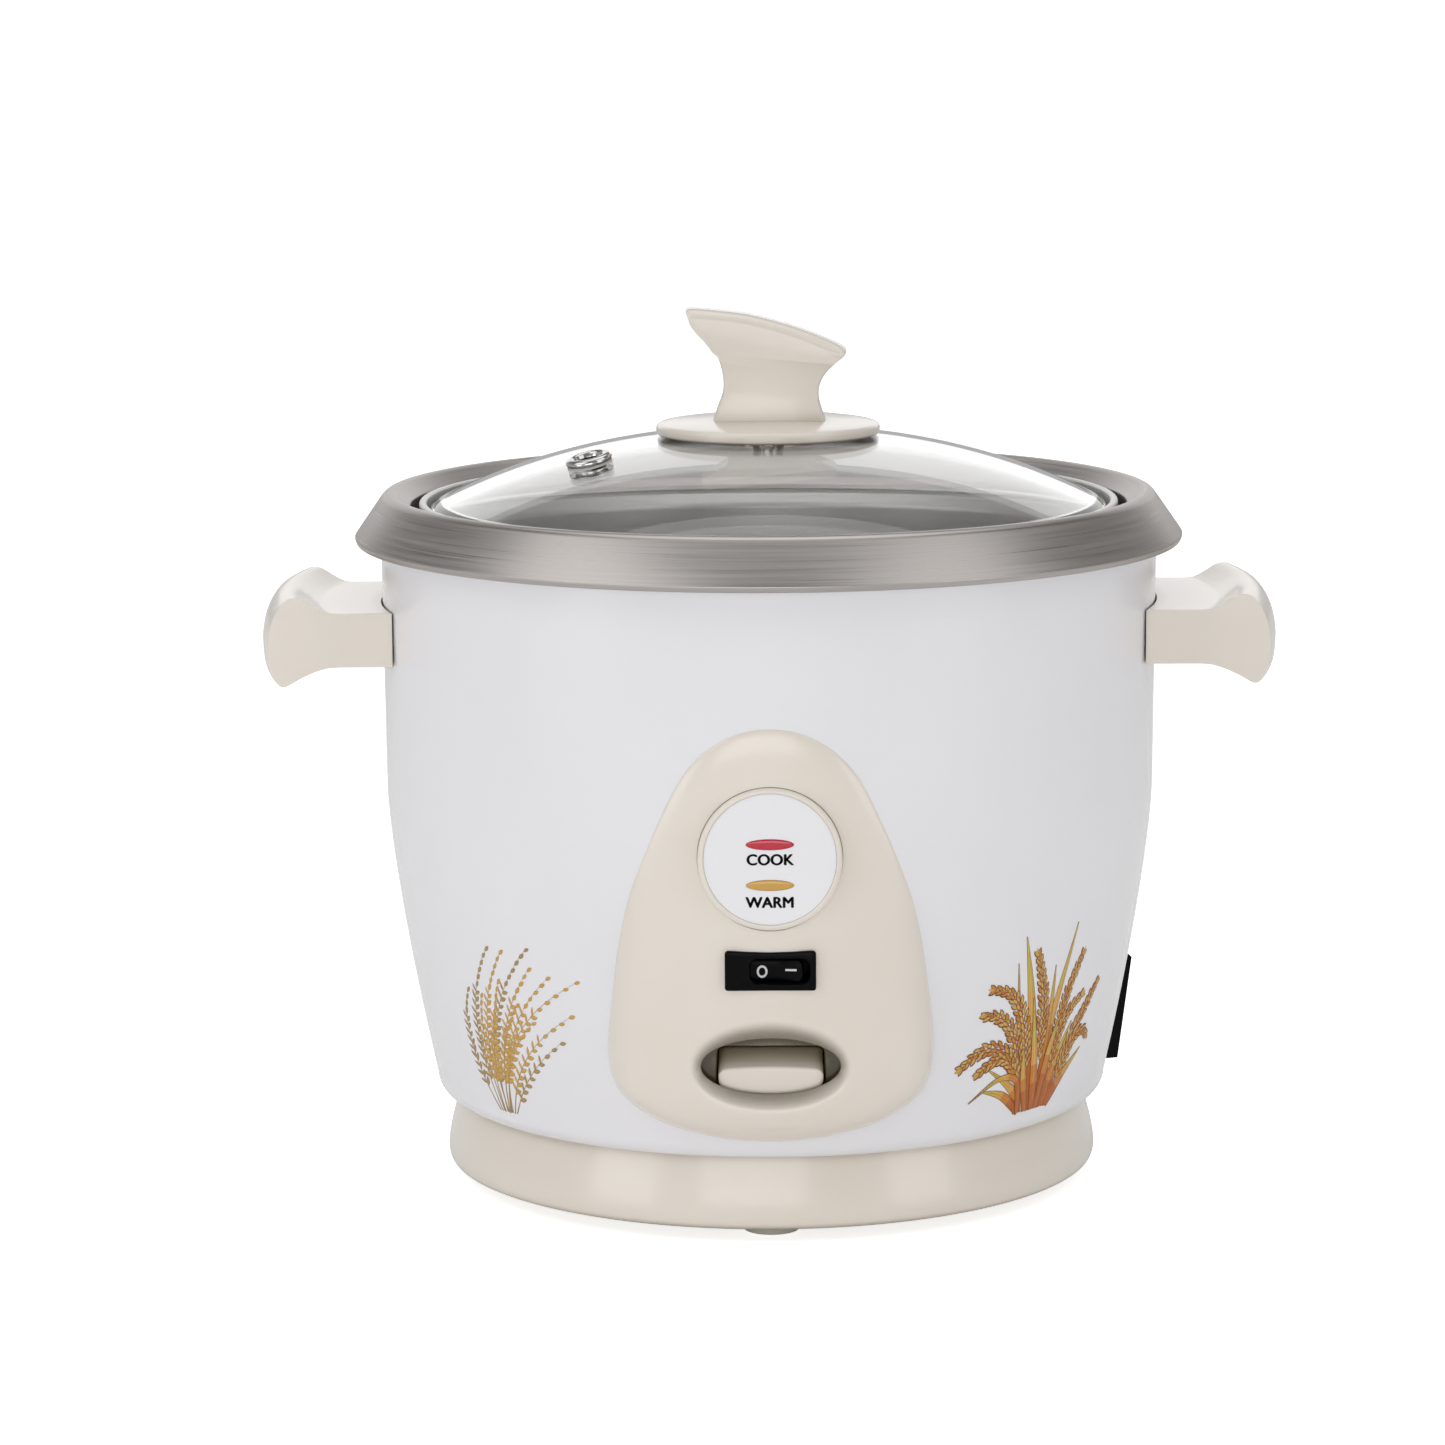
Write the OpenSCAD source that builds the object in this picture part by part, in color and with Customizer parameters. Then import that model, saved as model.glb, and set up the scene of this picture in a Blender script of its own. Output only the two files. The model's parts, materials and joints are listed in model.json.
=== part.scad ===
// Rice cooker with a lift-off glass lid, a lift-out pot and a cook lever.
// Origin: centre of the plane that the feet stand on. +Z up, the control panel faces -Y.

/* [Casing] */
// Outer radius of the casing at its straight top
wall_r = 120; // [118.5:0.5:120.5]
// Height of the casing wall's top edge
casing_top = 200; // [199:0.5:201]
// Height below which the casing curves inwards
knee_z = 122; // [114:1:130]
// How far the wall has come in at its lower hem
belly_in = 14.4; // [12:0.2:15]
// Sheet thickness of casing and heat shield
sheet = 0.9; // [0.7:0.05:1.0]

/* [Rim] */
// Outer radius of the steel rim
rim_r = 128; // [127:0.5:129]
// Radius of the rim's inner edge
rim_inner_r = 110.7; // [110:0.1:111.5]

/* [Base] */
// Largest radius of the plastic base ring
base_r = 101.6; // [101:0.2:103]
// Height of the joint between the casing and the base
base_top = 26; // [25.5:0.1:26.5]
// Radius of the circle that the feet sit on
foot_circle_r = 82.5; // [80:0.5:84]

/* [Pot and lid] */
// Outer radius of the pot's wall
pot_r = 100.5; // [99.5:0.1:100.8]
// Radius of the glass lid
glass_r = 105; // [104:0.1:105.2]
// Height that the glass rises from its edge to its crown
dome_rise = 22.6; // [21:0.1:22.6]
// Thickness of the glass
glass_t = 4; // [3:0.25:4]
// Radius of the knob's round flange
knob_r = 34.6; // [30:0.2:36]

/* [Handles] */
// Reach of the side handles from the middle
handle_r = 156.8; // [152:0.2:158]
// Width of a handle, front to back
handle_w = 73; // [60:1:80]

/* [Control panel] */
// Reach of the panel's front from the middle
panel_front = 121.5; // [121.3:0.1:121.8]
// Height of the middle of the round indicator window
indicator_z = 120.4; // [119:0.2:122]
// Height of the middle of the power switch
switch_z = 87.3; // [86:0.1:88]

/* [Cook lever] */
// Distance of the lever's pivot in front of the middle
pivot_front = 62; // [60:0.5:64]
// Height of the lever's pivot
pivot_z = 50; // [49.8:0.1:50.2]

/* [Hidden] */

$fn = 96;
eps = 0.01;
cream = [0.88, 0.86, 0.81];
steel = [0.66, 0.64, 0.62];
zinc = [0.72, 0.72, 0.70];
black = [0.05, 0.05, 0.06];

hem_z = 32;                 // bottom of the casing's curved belly
hem_r = 98.6;               // outer radius of the casing's flat bottom hem
draft = 0.01;               // inward lean of the straight wall, per mm of height
belly_power = 1.35;         // how sharply the belly starts
shelf_z = casing_top + 1.15; // underside of the heat shield's flange
plate_top = 80;             // top face of the heating plate
plate_t = 10;               // thickness of the heating plate
floor_z = 61;               // underside of the heat shield's floor
pot_floor = plate_top + 0.3;
pot_wall = 1.2;
glass_edge_z = 209.6;       // top face of the glass at its edge
dome_power = 2.3;           // flatness of the glass crown
inlet_turn = 20;            // the inlet faces this far behind +X
foot_turns = [270, 30, 150];  // one foot at the front, two at the back
screw_turns = [90, 210, 330]; // screws that hold the base ring to the casing
plate_turns = [60, 180, 300]; // screws that hold the bottom plate to the base ring

function smooth_point(a, b, c, d, t) =
    0.5 * (2 * b + (c - a) * t + (2 * a - 5 * b + 4 * c - d) * t * t
    + (3 * b - a - 3 * c + d) * t * t * t);
// Smooth curve through a list of points, with a number of steps between each two.
function smooth(p, steps) = concat(
    [for (i = [0 : len(p) - 2]) for (s = [0 : steps - 1])
        smooth_point(p[max(i - 1, 0)], p[i], p[i + 1], p[min(i + 2, len(p) - 1)], s / steps)],
    [p[len(p) - 1]]);
function flip_x(p) = [for (i = [len(p) - 1 : -1 : 0]) [-p[i][0], p[i][1]]];
function backwards(p) = [for (i = [len(p) - 1 : -1 : 0]) p[i]];
function ellipse_points(a, b, n) = [for (i = [0 : n - 1]) [a * cos(360 * i / n), b * sin(360 * i / n)]];

// Outer radius of the casing at a height.
function casing_r(z) = z >= knee_z
    ? wall_r - draft * (casing_top - z)
    : wall_r - draft * (casing_top - knee_z)
        - belly_in * pow((knee_z - z) / (knee_z - hem_z), belly_power);
// Height of the glass lid's top face at a radius.
function glass_z(r) = glass_edge_z + dome_rise * (1 - pow(r / glass_r, dome_power));

// Casing outline from the hem to the top, moved inwards by inset.
function casing_outline(inset) = concat(
    [for (a = [0 : 18 : 72])
        [hem_r + (casing_r(hem_z) - hem_r - inset) * sin(a), hem_z - (hem_z - base_top - inset) * cos(a)]],
    [for (i = [0 : 12]) let (z = hem_z + (knee_z - hem_z) * i / 12) [casing_r(z) - inset, z]],
    [[casing_r(casing_top) - inset, casing_top]]);

module ring_of(turns, r) {
    for (a = turns) rotate([0, 0, a]) translate([r, 0, 0]) children();
}
// A round bar along -Y, from y = -front to y = -back.
module bar_y(r, front, back) {
    translate([0, -back, 0]) rotate([90, 0, 0]) cylinder(r = r, h = front - back);
}
// Extrudes an outline of (x, z) points from y = -front to y = -back.
module slab_y(points, front, back) {
    translate([0, -back, 0]) rotate([90, 0, 0]) linear_extrude(height = front - back) polygon(points);
}
// Extrudes an outline of (y, z) points over x = -half to x = half.
module slab_x(points, half) {
    translate([-half, 0, 0]) rotate([90, 0, 90]) linear_extrude(height = 2 * half) polygon(points);
}
// Block centred on the x axis and at a height, from y = -front to y = -back.
module block_y(w, h, z, front, back) {
    translate([-w / 2, -front, z - h / 2]) cube([w, front - back, h]);
}

// ---------- casing ----------

handle_screw_z = 172.3;
handle_screw_y = 22;
inlet_z = 42.5;
inlet_h = 30;
inlet_w = 32;
inlet_out = 118;
inlet_screw_z = 12.3;       // each screw sits this far above or below the inlet's middle
boss_circle_r = 93.3;

module at_inlet() {
    rotate([0, 0, inlet_turn]) translate([0, 0, inlet_z]) children();
}
module handle_screw_places() {
    for (side = [0, 180]) for (y = [-handle_screw_y, handle_screw_y])
        rotate([0, 0, side]) translate([0, y, handle_screw_z]) rotate([0, 90, 0]) children();
}

module outer_shell() {
    flange_r = 125.7;
    outer = casing_outline(0);
    inner = casing_outline(sheet);
    color("white") difference() {
        rotate_extrude() polygon(concat(
            [[90, base_top]], outer, [[flange_r, casing_top + 0.2], [flange_r, shelf_z - 0.05],
            [casing_r(casing_top) - sheet, shelf_z - 0.05]], backwards(inner), [[90, base_top + sheet]]));
        block_y(49, 28, 55, 125, 90);
        block_y(28, 26, switch_z - 3, 125, 95);
        translate([0, 0, indicator_z]) bar_y(21.6, 130, 100);
        handle_screw_places() translate([0, 0, 100]) cylinder(r = 2.2, h = 30);
        at_inlet() {
            translate([90, -13.6, -9.9]) cube([30, 27.2, 19.8]);
            inlet_screw_holes(1.3, 90);
        }
        ring_of(screw_turns, boss_circle_r) translate([0, 0, 20]) cylinder(r = 1.55, h = 10);
    }
}

module rim_ring() {
    t = 1;
    leg = shelf_z + 0.85;
    nose = [[rim_r - 3.4, 199.0], [rim_r - 1.2, 199.05], [rim_r - 0.3, 199.7], [rim_r, 200.6],
        [rim_r - 0.2, 201.5]];
    crown = [[121, 210.9], [120, 212.3], [118.7, 213.5], [117, 214.2], [115, 213.9],
        [113, 212.9], [111.5, 211.7], [rim_inner_r, 210.2], [rim_inner_r, leg]];
    under = [[rim_inner_r + t, leg], [rim_inner_r + t, 209.9], [112.3, 211], [113.6, 212], [115.3, 212.9],
        [116.9, 213.15], [118.2, 212.6], [119.2, 211.7], [120.1, 210.4],
        [rim_r - 1.3, 201.3], [rim_r - 1.4, 200.5], [rim_r - 2, 200.12], [rim_r - 3.4, 200.12]];
    color(steel) rotate_extrude() polygon(concat(nose, crown, under));
}

module heat_shield() {
    r = 104;
    color(zinc) difference() {
        rotate_extrude() polygon([[44, floor_z], [r + sheet, floor_z], [r + sheet, shelf_z],
            [122.5, shelf_z], [122.5, shelf_z + 0.8], [r, shelf_z + 0.8], [r, floor_z + sheet],
            [44, floor_z + sheet]]);
        ring_of(bolt_turns, bolt_circle_r) translate([0, 0, 55]) cylinder(r = 2.1, h = 12);
        ring_of(element_leg_turns, element_r) translate([0, 0, 55]) cylinder(r = 4.5, h = 12);
        block_y(36, 5, floor_z + 1, 110, 93);
    }
}

// ---------- base ----------

module base_ring() {
    wall = 2.5;
    outside = [[99, 4], [100.6, 4.7], [base_r - 0.1, 6.4], [base_r, 9], [base_r - 0.8, 14],
        [base_r - 2.3, 20], [base_r - 4, base_top - 0.05]];
    inside = [[base_r - 4 - wall, 23.5], [base_r - 2.5 - wall, 20], [base_r - 1 - wall, 14],
        [base_r - wall, 9], [base_r - wall, 6.5]];
    color(cream) difference() {
        union() {
            rotate_extrude() polygon(concat([[71, 4]], outside,
                [[89.8, base_top - 0.05], [89.8, 28.4], [87.4, 28.4], [87.4, 23.5]], inside, [[71, 6.5]]));
            ring_of(screw_turns, boss_circle_r) translate([0, 0, 5]) cylinder(r = 4.4, h = 20);
        }
        ring_of(screw_turns, boss_circle_r) {
            cylinder(r = 1.7, h = 30);
            cylinder(r = 3.6, h = 8);
        }
        ring_of(plate_turns, 77) {
            cylinder(r = 1.5, h = 10);
            cylinder(r = 3.3, h = 5.4);
        }
        ring_of(foot_turns, foot_circle_r) cylinder(r = 3, h = 10);
    }
}

// A pan-head screw standing on its head at z = 0, threaded end up.
module pan_screw(head_r, head_h, shaft_r, shaft_h) {
    difference() {
        cylinder(r = head_r, h = head_h);
        translate([-head_r * 0.55, -0.4, -1]) cube([head_r * 1.1, 0.8, 1.8]);
        translate([-0.4, -head_r * 0.55, -1]) cube([0.8, head_r * 1.1, 1.8]);
    }
    translate([0, 0, head_h - eps]) cylinder(r = shaft_r, h = shaft_h);
}

module base_screws() {
    color(zinc) ring_of(screw_turns, boss_circle_r) translate([0, 0, 5.7])
        pan_screw(3.3, 2.3, 1.5, 21.5);
}

module bottom_plate() {
    color(zinc) difference() {
        translate([0, 0, 6.55]) cylinder(r = 86, h = 0.8);
        ring_of(plate_turns, 77) translate([0, 0, 5]) cylinder(r = 1.45, h = 5);
        for (row = [-2 : 2]) for (side = [-1, 1])
            translate([side * 26 - 17, row * 13 - 2.5, 5]) cube([34, 5, 5]);
    }
}

module plate_screws() {
    color(zinc) ring_of(plate_turns, 77) translate([0, 0, 3.4])
        pan_screw(3, 2, 1.4, 6);
}

module rubber_feet() {
    color([0.78, 0.77, 0.74]) ring_of(foot_turns, foot_circle_r) {
        rotate_extrude() polygon([[0, 0], [8.2, 0], [8.8, 0.6], [9, 3.95], [0, 3.95]]);
        translate([0, 0, 3.9]) cylinder(r = 2.95, h = 2.6);
    }
}

// ---------- handles ----------

module handle() {
    root = 120.1;
    arm_low = 164;
    arm_high = 180.6;
    grip = smooth([[136, arm_low], [141.5, 163.1], [146.5, 161], [150.5, 158.7], [152.2, 158],
        [153.8, 158.5], [155.3, 160.6], [156.4, 163.8], [handle_r, 168.3], [handle_r, 171.8], [156, 176.6],
        [154.6, 180.3], [152.6, 183.4], [150.8, 184.9], [148.6, 185.4], [146.2, 184.8],
        [143.4, 183], [140.2, 181.2], [136.4, arm_high]], 2);
    color(cream) difference() {
        intersection() {
            rotate_extrude() polygon(concat([[root, arm_high], [root, arm_low]], grip));
            translate([100, -handle_w / 2, 150]) cube([70, handle_w, 45]);
        }
        for (y = [-handle_screw_y, handle_screw_y])
            translate([110, y, handle_screw_z]) rotate([0, 90, 0]) cylinder(r = 1.85, h = 24);
    }
}
module left_handle() rotate([0, 0, 180]) handle();
module right_handle() handle();

module handle_screws() {
    color(zinc) handle_screw_places() translate([0, 0, 113.9]) pan_screw(3.4, 2.1, 1.8, 17);
}

// ---------- control panel ----------

plan_r = 95;                      // curve of the panel's front, seen from above
plan_y = panel_front - plan_r;    // its centre lies this far in front of the middle
window_z = 56.9;                  // middle of the lever's opening
function panel_side(k) = [for (p = [[48, 58], [47.9, 66], [46.4, 79], [44.6, 92], [41.6, 106], [37.4, 118],
    [32, 131], [26, 143], [18.5, 151.5], [9.5, 156.6], [0, 158.2]]) [p[0] * k, 96 + (p[1] - 96) * k]];
function panel_foot(k) = [for (p = [[0, 32.4], [14, 33.4], [27, 36.2], [36.5, 40.2], [43.8, 45.6],
    [47, 51.4], [48, 58]]) [p[0] * k, 96 + (p[1] - 96) * k]];
function panel_half(k) = concat(smooth(panel_foot(k), 3), smooth(panel_side(k), 3));
function panel_outline(k) = concat(panel_half(k), flip_x(panel_half(k)));

// The bulged front of the panel, as a solid of revolution with a skin taken off.
module panel_bulge(inset) {
    drawn_in = [[12.5, 32.4], [8, 35], [4, 39], [1.4, 44], [0.2, 50], [0, 58], [0, 140], [0.4, 150],
        [1.4, 160]];
    translate([0, -plan_y, 0]) rotate_extrude() polygon(concat([[0, 30], [plan_r - 17, 30]],
        [for (p = drawn_in) [plan_r - p[0] - inset, p[1]]], [[0, 160]]));
}

module control_panel() {
    wall = 2.4;
    pocket_back = 105;
    color(cream) difference() {
        union() {
            difference() {
                intersection() {
                    slab_y(panel_outline(1), 130, 80);
                    panel_bulge(0);
                }
                intersection() {
                    slab_y(panel_outline(0.95), 131, 79);
                    panel_bulge(wall);
                }
                rotate_extrude() polygon(concat([[0, base_top]], casing_outline(-0.05), [[0, casing_top]]));
            }
            intersection() {
                block_y(46, 26.8, 54.8, 119, pocket_back);
                panel_bulge(1);
            }
        }
        translate([0, 0, window_z]) hull() {
            slab_y(ellipse_points(23.8, 15.8, 32), 122.6, 122.5);
            slab_y(ellipse_points(20.8, 8.6, 32), 116.5, 116.4);
        }
        block_y(40.6, 23.2, 54.4, 116.5, 107);
        block_y(32, 18.6, 53.2, 108, 100);
        translate([0, 0, indicator_z]) bar_y(21.2, 130, 100);
        block_y(24.4, 11.2, switch_z, 130, 100);
    }
}

module lens_bezel() {
    color(cream) translate([0, 0, indicator_z]) difference() {
        bar_y(21.1, 122.5, 114.5);
        bar_y(19.35, 130, 119.9);
        bar_y(17.4, 130, 100);
    }
}

lamp_gap = 6;    // each lamp window sits this far above or below the disc's middle
lamp_drop = -1.6; // the pair sits a little low on the disc
module at_lamp(side) {
    translate([0, 0, indicator_z + lamp_drop + side * lamp_gap]) children();
}

module indicator_disc() {
    color("white") difference() {
        translate([0, 0, indicator_z]) bar_y(19.3, 122, 119.95);
        for (side = [-1, 1]) at_lamp(side) slab_y(ellipse_points(7.1, 1.65, 24), 130, 110);
    }
}

module lamp_window(tint, side) {
    color(tint) at_lamp(side) {
        slab_y(ellipse_points(7, 1.55, 24), 122.1, 119.85);
        slab_y(ellipse_points(8.2, 2.8, 24), 119.9, 118.9);
    }
}
module cook_lamp() lamp_window([0.75, 0.05, 0.1], 1);
module warm_lamp() lamp_window([0.85, 0.6, 0.15], -1);

module lamp_holder() {
    color([0.9, 0.9, 0.88]) difference() {
        translate([0, 0, indicator_z + lamp_drop]) {
            block_y(23, 22, 0, 118.8, 108.5);
            block_y(36, 20, 0, 114.4, 112.9);
        }
        for (side = [-1, 1]) at_lamp(side) block_y(19, 8.2, 0, 125, 110);
    }
}

module neon_lamps() {
    color([0.9, 0.5, 0.3]) for (side = [-1, 1]) at_lamp(side)
        translate([-8, -113.6, 0]) rotate([0, 90, 0]) cylinder(r = 2.6, h = 16);
}

// ---------- power switch ----------

rocker_x = 2.7;
rocker_pivot = 115.3;
rocker_rest = -9;

module switch_frame() {
    color(black) difference() {
        union() {
            block_y(26.6, 12.2, switch_z, 122.3, 121.55);
            block_y(24.2, 11, switch_z, 121.6, 108);
        }
        translate([rocker_x, 0, 0]) block_y(17.4, 7.4, switch_z, 125, 109.5);
        translate([rocker_x, -rocker_pivot, switch_z - 5]) cylinder(r = 1.25, h = 10);
    }
}

module switch_rocker() {
    half_w = 7.6;
    color(black) translate([rocker_x, -rocker_pivot, switch_z]) rotate([0, 0, rocker_rest]) {
        translate([0, 0, -3.2]) linear_extrude(height = 6.4) polygon([[-half_w, -6.3], [0, -4.9],
            [half_w, -6.3], [half_w, -3], [5, -0.5], [2, 3], [-2, 3], [-5, -0.5], [-half_w, -3]]);
        translate([0, 0, -4.8]) cylinder(r = 1.2, h = 9.6);
    }
}

// ---------- power inlet ----------

// How far out the head of an inlet screw is seated, above or below the inlet's middle.
function inlet_seat(z) = 113.9 + 0.145 * z;
module inlet_screw_holes(r, from) {
    for (z = [-inlet_screw_z, inlet_screw_z])
        translate([from, 0, z]) rotate([0, 90, 0]) cylinder(r = r, h = 40);
}
module inlet_pin_bars(grow, length) {
    for (p = [[-7, -2], [7, -2], [0, 2.4]])
        translate([84, p[0] - 1 - grow, p[1] - 2 - grow]) cube([length, 2 + 2 * grow, 4 + 2 * grow]);
}

module power_inlet() {
    color(black) at_inlet() difference() {
        union() {
            difference() {
                intersection() {
                    translate([100, -inlet_w / 2, -inlet_h / 2]) cube([30, inlet_w, inlet_h + 4]);
                    rotate([0, 0, -inlet_turn]) translate([0, 0, -inlet_z]) rotate_extrude()
                        polygon([[90, 20], [112.2, 20], [inlet_out, 60], [115.8, 62], [90, 62]]);
                }
                rotate([0, 0, -inlet_turn]) translate([0, 0, -inlet_z]) rotate_extrude()
                    polygon(concat([[0, base_top]], casing_outline(-0.05), [[0, casing_top]]));
            }
            translate([92, -13.2, -9.6]) cube([20, 26.4, 19.2]);
        }
        translate([94.5, -12, -8.5]) cube([40, 24, 17]);
        inlet_pin_bars(0.03, 20);
        inlet_screw_holes(1.3, 90);
        for (z = [-inlet_screw_z, inlet_screw_z])
            translate([inlet_seat(z), 0, z]) rotate([0, 90, 0]) cylinder(r = 2.4, h = 20);
    }
}

module inlet_pins() {
    color([0.8, 0.75, 0.55]) at_inlet() inlet_pin_bars(0, 25);
}

module inlet_screws() {
    color(zinc) at_inlet() for (z = [-inlet_screw_z, inlet_screw_z])
        translate([inlet_seat(z) + 1.3, 0, z]) rotate([0, -90, 0]) pan_screw(2.2, 1.3, 1.25, 11);
}

// ---------- heating plate and thermostat ----------

element_r = 60;
element_leg_turns = [78, 102];
bolt_circle_r = 50;
bolt_turns = [90, 210, 330];

module heating_plate() {
    low = plate_top - plate_t;
    color([0.70, 0.71, 0.72]) difference() {
        union() {
            rotate_extrude() polygon([[19, low], [80, low], [84, low + 2], [86, low + 5],
                [86, plate_top - 1], [85, plate_top], [19.6, plate_top], [19, plate_top - 0.6]]);
            ring_of(bolt_turns, bolt_circle_r) translate([0, 0, floor_z + sheet + 0.05])
                cylinder(r = 4.5, h = 9);
        }
        translate([0, 0, low]) rotate_extrude() translate([element_r, 0]) circle(r = 3.6, $fn = 32);
        ring_of(bolt_turns, bolt_circle_r) translate([0, 0, 50]) cylinder(r = 1.6, h = 24);
    }
}

module heating_element() {
    low = plate_top - plate_t;
    gap = 12;
    color(steel) {
        translate([0, 0, low]) rotate([0, 0, 90 + gap / 2]) rotate_extrude(angle = 360 - gap)
            translate([element_r, 0]) circle(r = 3.5, $fn = 32);
        ring_of(element_leg_turns, element_r) translate([0, 0, 50]) cylinder(r = 1.9, h = 20);
    }
}

module plate_bolts() {
    color(zinc) ring_of(bolt_turns, bolt_circle_r) translate([0, 0, floor_z - 2.3])
        pan_screw(3.4, 2.2, 1.5, 12);
}

module sensor_sleeve() {
    color(zinc) rotate_extrude() polygon([[13, 56], [18.5, 56], [18.5, 68.9], [26, 68.9], [26, 69.9],
        [17.7, 69.9], [17.7, 57], [13, 57]]);
}

module keep_warm_thermostat() {
    color([0.85, 0.8, 0.7]) translate([-38, 12, 0]) {
        translate([0, 0, 63]) cylinder(r = 7, h = 6.9);
        translate([-9, -3.5, 62.2]) cube([18, 7, 0.85]);
    }
}

module thermal_fuse() {
    color([0.9, 0.9, 0.85]) translate([38, 4, 66.8]) rotate([0, 90, 90]) cylinder(r = 2.2, h = 18);
}

module sensor_cap() {
    top = plate_top;
    color([0.78, 0.78, 0.79]) rotate_extrude() polygon([[0, top - 1], [16.2, top - 1], [16.2, 69],
        [17.2, 69], [17.2, top - 0.6], [16.6, top], [0, top]]);
}

module sensor_ferrite() {
    color([0.2, 0.2, 0.22]) translate([0, 0, 74]) cylinder(r = 15.8, h = plate_top - 1.05 - 74);
}

// A coil spring about +Z: one tube swept along its turns.
module coil_spring(r, wire_r, low, high, turns) {
    sides = 8;
    per_turn = 14;
    n = turns * per_turn;
    rings = [for (i = [0 : n]) let (a = 360 * i / per_turn, z = low + (high - low) * i / n)
        [for (j = [0 : sides - 1]) let (b = 360 * j / sides, q = r + wire_r * cos(b))
            [q * cos(a), q * sin(a), z + wire_r * sin(b)]]];
    points = [for (ring = rings) each ring];
    faces = concat([[for (j = [0 : sides - 1]) j]],
        [for (i = [0 : n - 1]) for (j = [0 : sides - 1]) let (k = (j + 1) % sides)
            [i * sides + j, (i + 1) * sides + j, (i + 1) * sides + k, i * sides + k]],
        [[for (j = [sides - 1 : -1 : 0]) n * sides + j]]);
    polyhedron(points = points, faces = faces, convexity = 6);
}

module sensor_spring() {
    color(zinc) coil_spring(14.6, 0.5, 57.6, 73.4, 5);
}
module release_spring() {
    color(zinc) coil_spring(4.6, 0.4, 59.5, 73.5, 6);
}

magnet_low = 59;
module magnet() {
    color([0.25, 0.25, 0.27]) difference() {
        cylinder_between(11, magnet_low, magnet_low + 6);
        cylinder_between(6, magnet_low - 1, magnet_low + 7);
    }
}

module magnet_holder() {
    color(zinc) {
        rotate_extrude() polygon([[0, magnet_low - 1.05], [12, magnet_low - 1.05], [12, magnet_low + 4.5],
            [11.1, magnet_low + 4.5], [11.1, magnet_low - 0.05], [0, magnet_low - 0.05]]);
        cylinder_between(2, 45, magnet_low - 1);
        cylinder_between(5, 51.9, 53.4);
        cylinder_between(5, 45.6, 48.3);
    }
}
module cylinder_between(r, low, high) {
    translate([0, 0, low]) cylinder(r = r, h = high - low);
}

// ---------- cook lever ----------

cheek_x = 9.2;
module lever_bracket() {
    t = 1.2;
    top = floor_z - 0.05;
    low = pivot_z - 5;
    front = -pivot_front;
    cheek = [[front - 6, top], [front - 6, pivot_z + 1], [front - 4, low], [front + 4, low],
        [front + 6, pivot_z + 1], [front + 6, top]];
    long_cheek = [[front - 6, top], [front - 6, pivot_z + 1], [front - 4, low], [front + 8, 34],
        [front + 36, 34], [front + 36, 48], [front + 14, 48], [front + 6, top]];
    color(zinc) difference() {
        union() {
            translate([-cheek_x - t / 2, 0, 0]) slab_x(cheek, t / 2);
            translate([cheek_x + t / 2, 0, 0]) slab_x(long_cheek, t / 2);
            translate([-cheek_x - t, -pivot_front - 6, floor_z - 1.2]) cube([2 * (cheek_x + t), 12, 1.15]);
        }
        translate([-20, -pivot_front, pivot_z]) rotate([0, 90, 0]) cylinder(r = 1.53, h = 40);
        for (y = [-45, -32]) translate([0, y, 38.5]) rotate([0, 90, 0]) cylinder(r = 1.2, h = 20);
    }
}

module lever_pin() {
    color(steel) translate([-11.6, -pivot_front, pivot_z]) rotate([0, 90, 0]) cylinder(r = 1.5, h = 23.2);
}

module lever_arm() {
    t = 1.6;
    color(zinc) difference() {
        union() {
            translate([-6, -112.3, pivot_z - t / 2]) cube([12, 50, t]);
            translate([-6, -pivot_front, pivot_z - t / 2]) cube([12, pivot_front + 10, t]);
            translate([0, -39.5, pivot_z - t / 2]) cube([17, 7, t]);
            translate([-9, -pivot_front, pivot_z]) rotate([0, 90, 0]) cylinder(r = 3.2, h = 18);
        }
        translate([-9.5, -pivot_front, pivot_z]) rotate([0, 90, 0]) cylinder(r = 1.56, h = 19);
        translate([-2.6, -5, pivot_z - 5]) cube([5.2, 10, 10]);
    }
}

module lever_knob() {
    color(cream) difference() {
        slab_x([[-115.6, 48.4], [-115.6, 57.2], [-115, 57.9], [-107, 61], [-104, 61.6], [-99, 61.6],
            [-99, 50.85], [-112.4, 50.85], [-112.4, 48.1], [-115.3, 48.1]], 15.4);
        for (side = [-1, 1]) translate([side * 11, -106, 40]) cylinder(r = 1.2, h = 18);
    }
}

module microswitch() {
    color([0.15, 0.15, 0.16]) difference() {
        translate([cheek_x + 1.25, -48.5, 36]) cube([6.4, 20, 10.2]);
        for (y = [-45, -32]) translate([0, y, 38.5]) rotate([0, 90, 0]) cylinder(r = 1.15, h = 20);
        translate([cheek_x + 4.45, -36, 42]) cylinder(r = 1.1, h = 6);
    }
    color([0.8, 0.75, 0.55]) for (y = [-46, -38.5, -31])
        translate([cheek_x + 4, y - 1.5, 31]) cube([0.6, 3, 5.1]);
}

module microswitch_button() {
    color([0.6, 0.1, 0.1]) translate([cheek_x + 4.45, -36, 43.2]) cylinder(r = 1.03, h = 5.7);
}

// ---------- pot ----------

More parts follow.
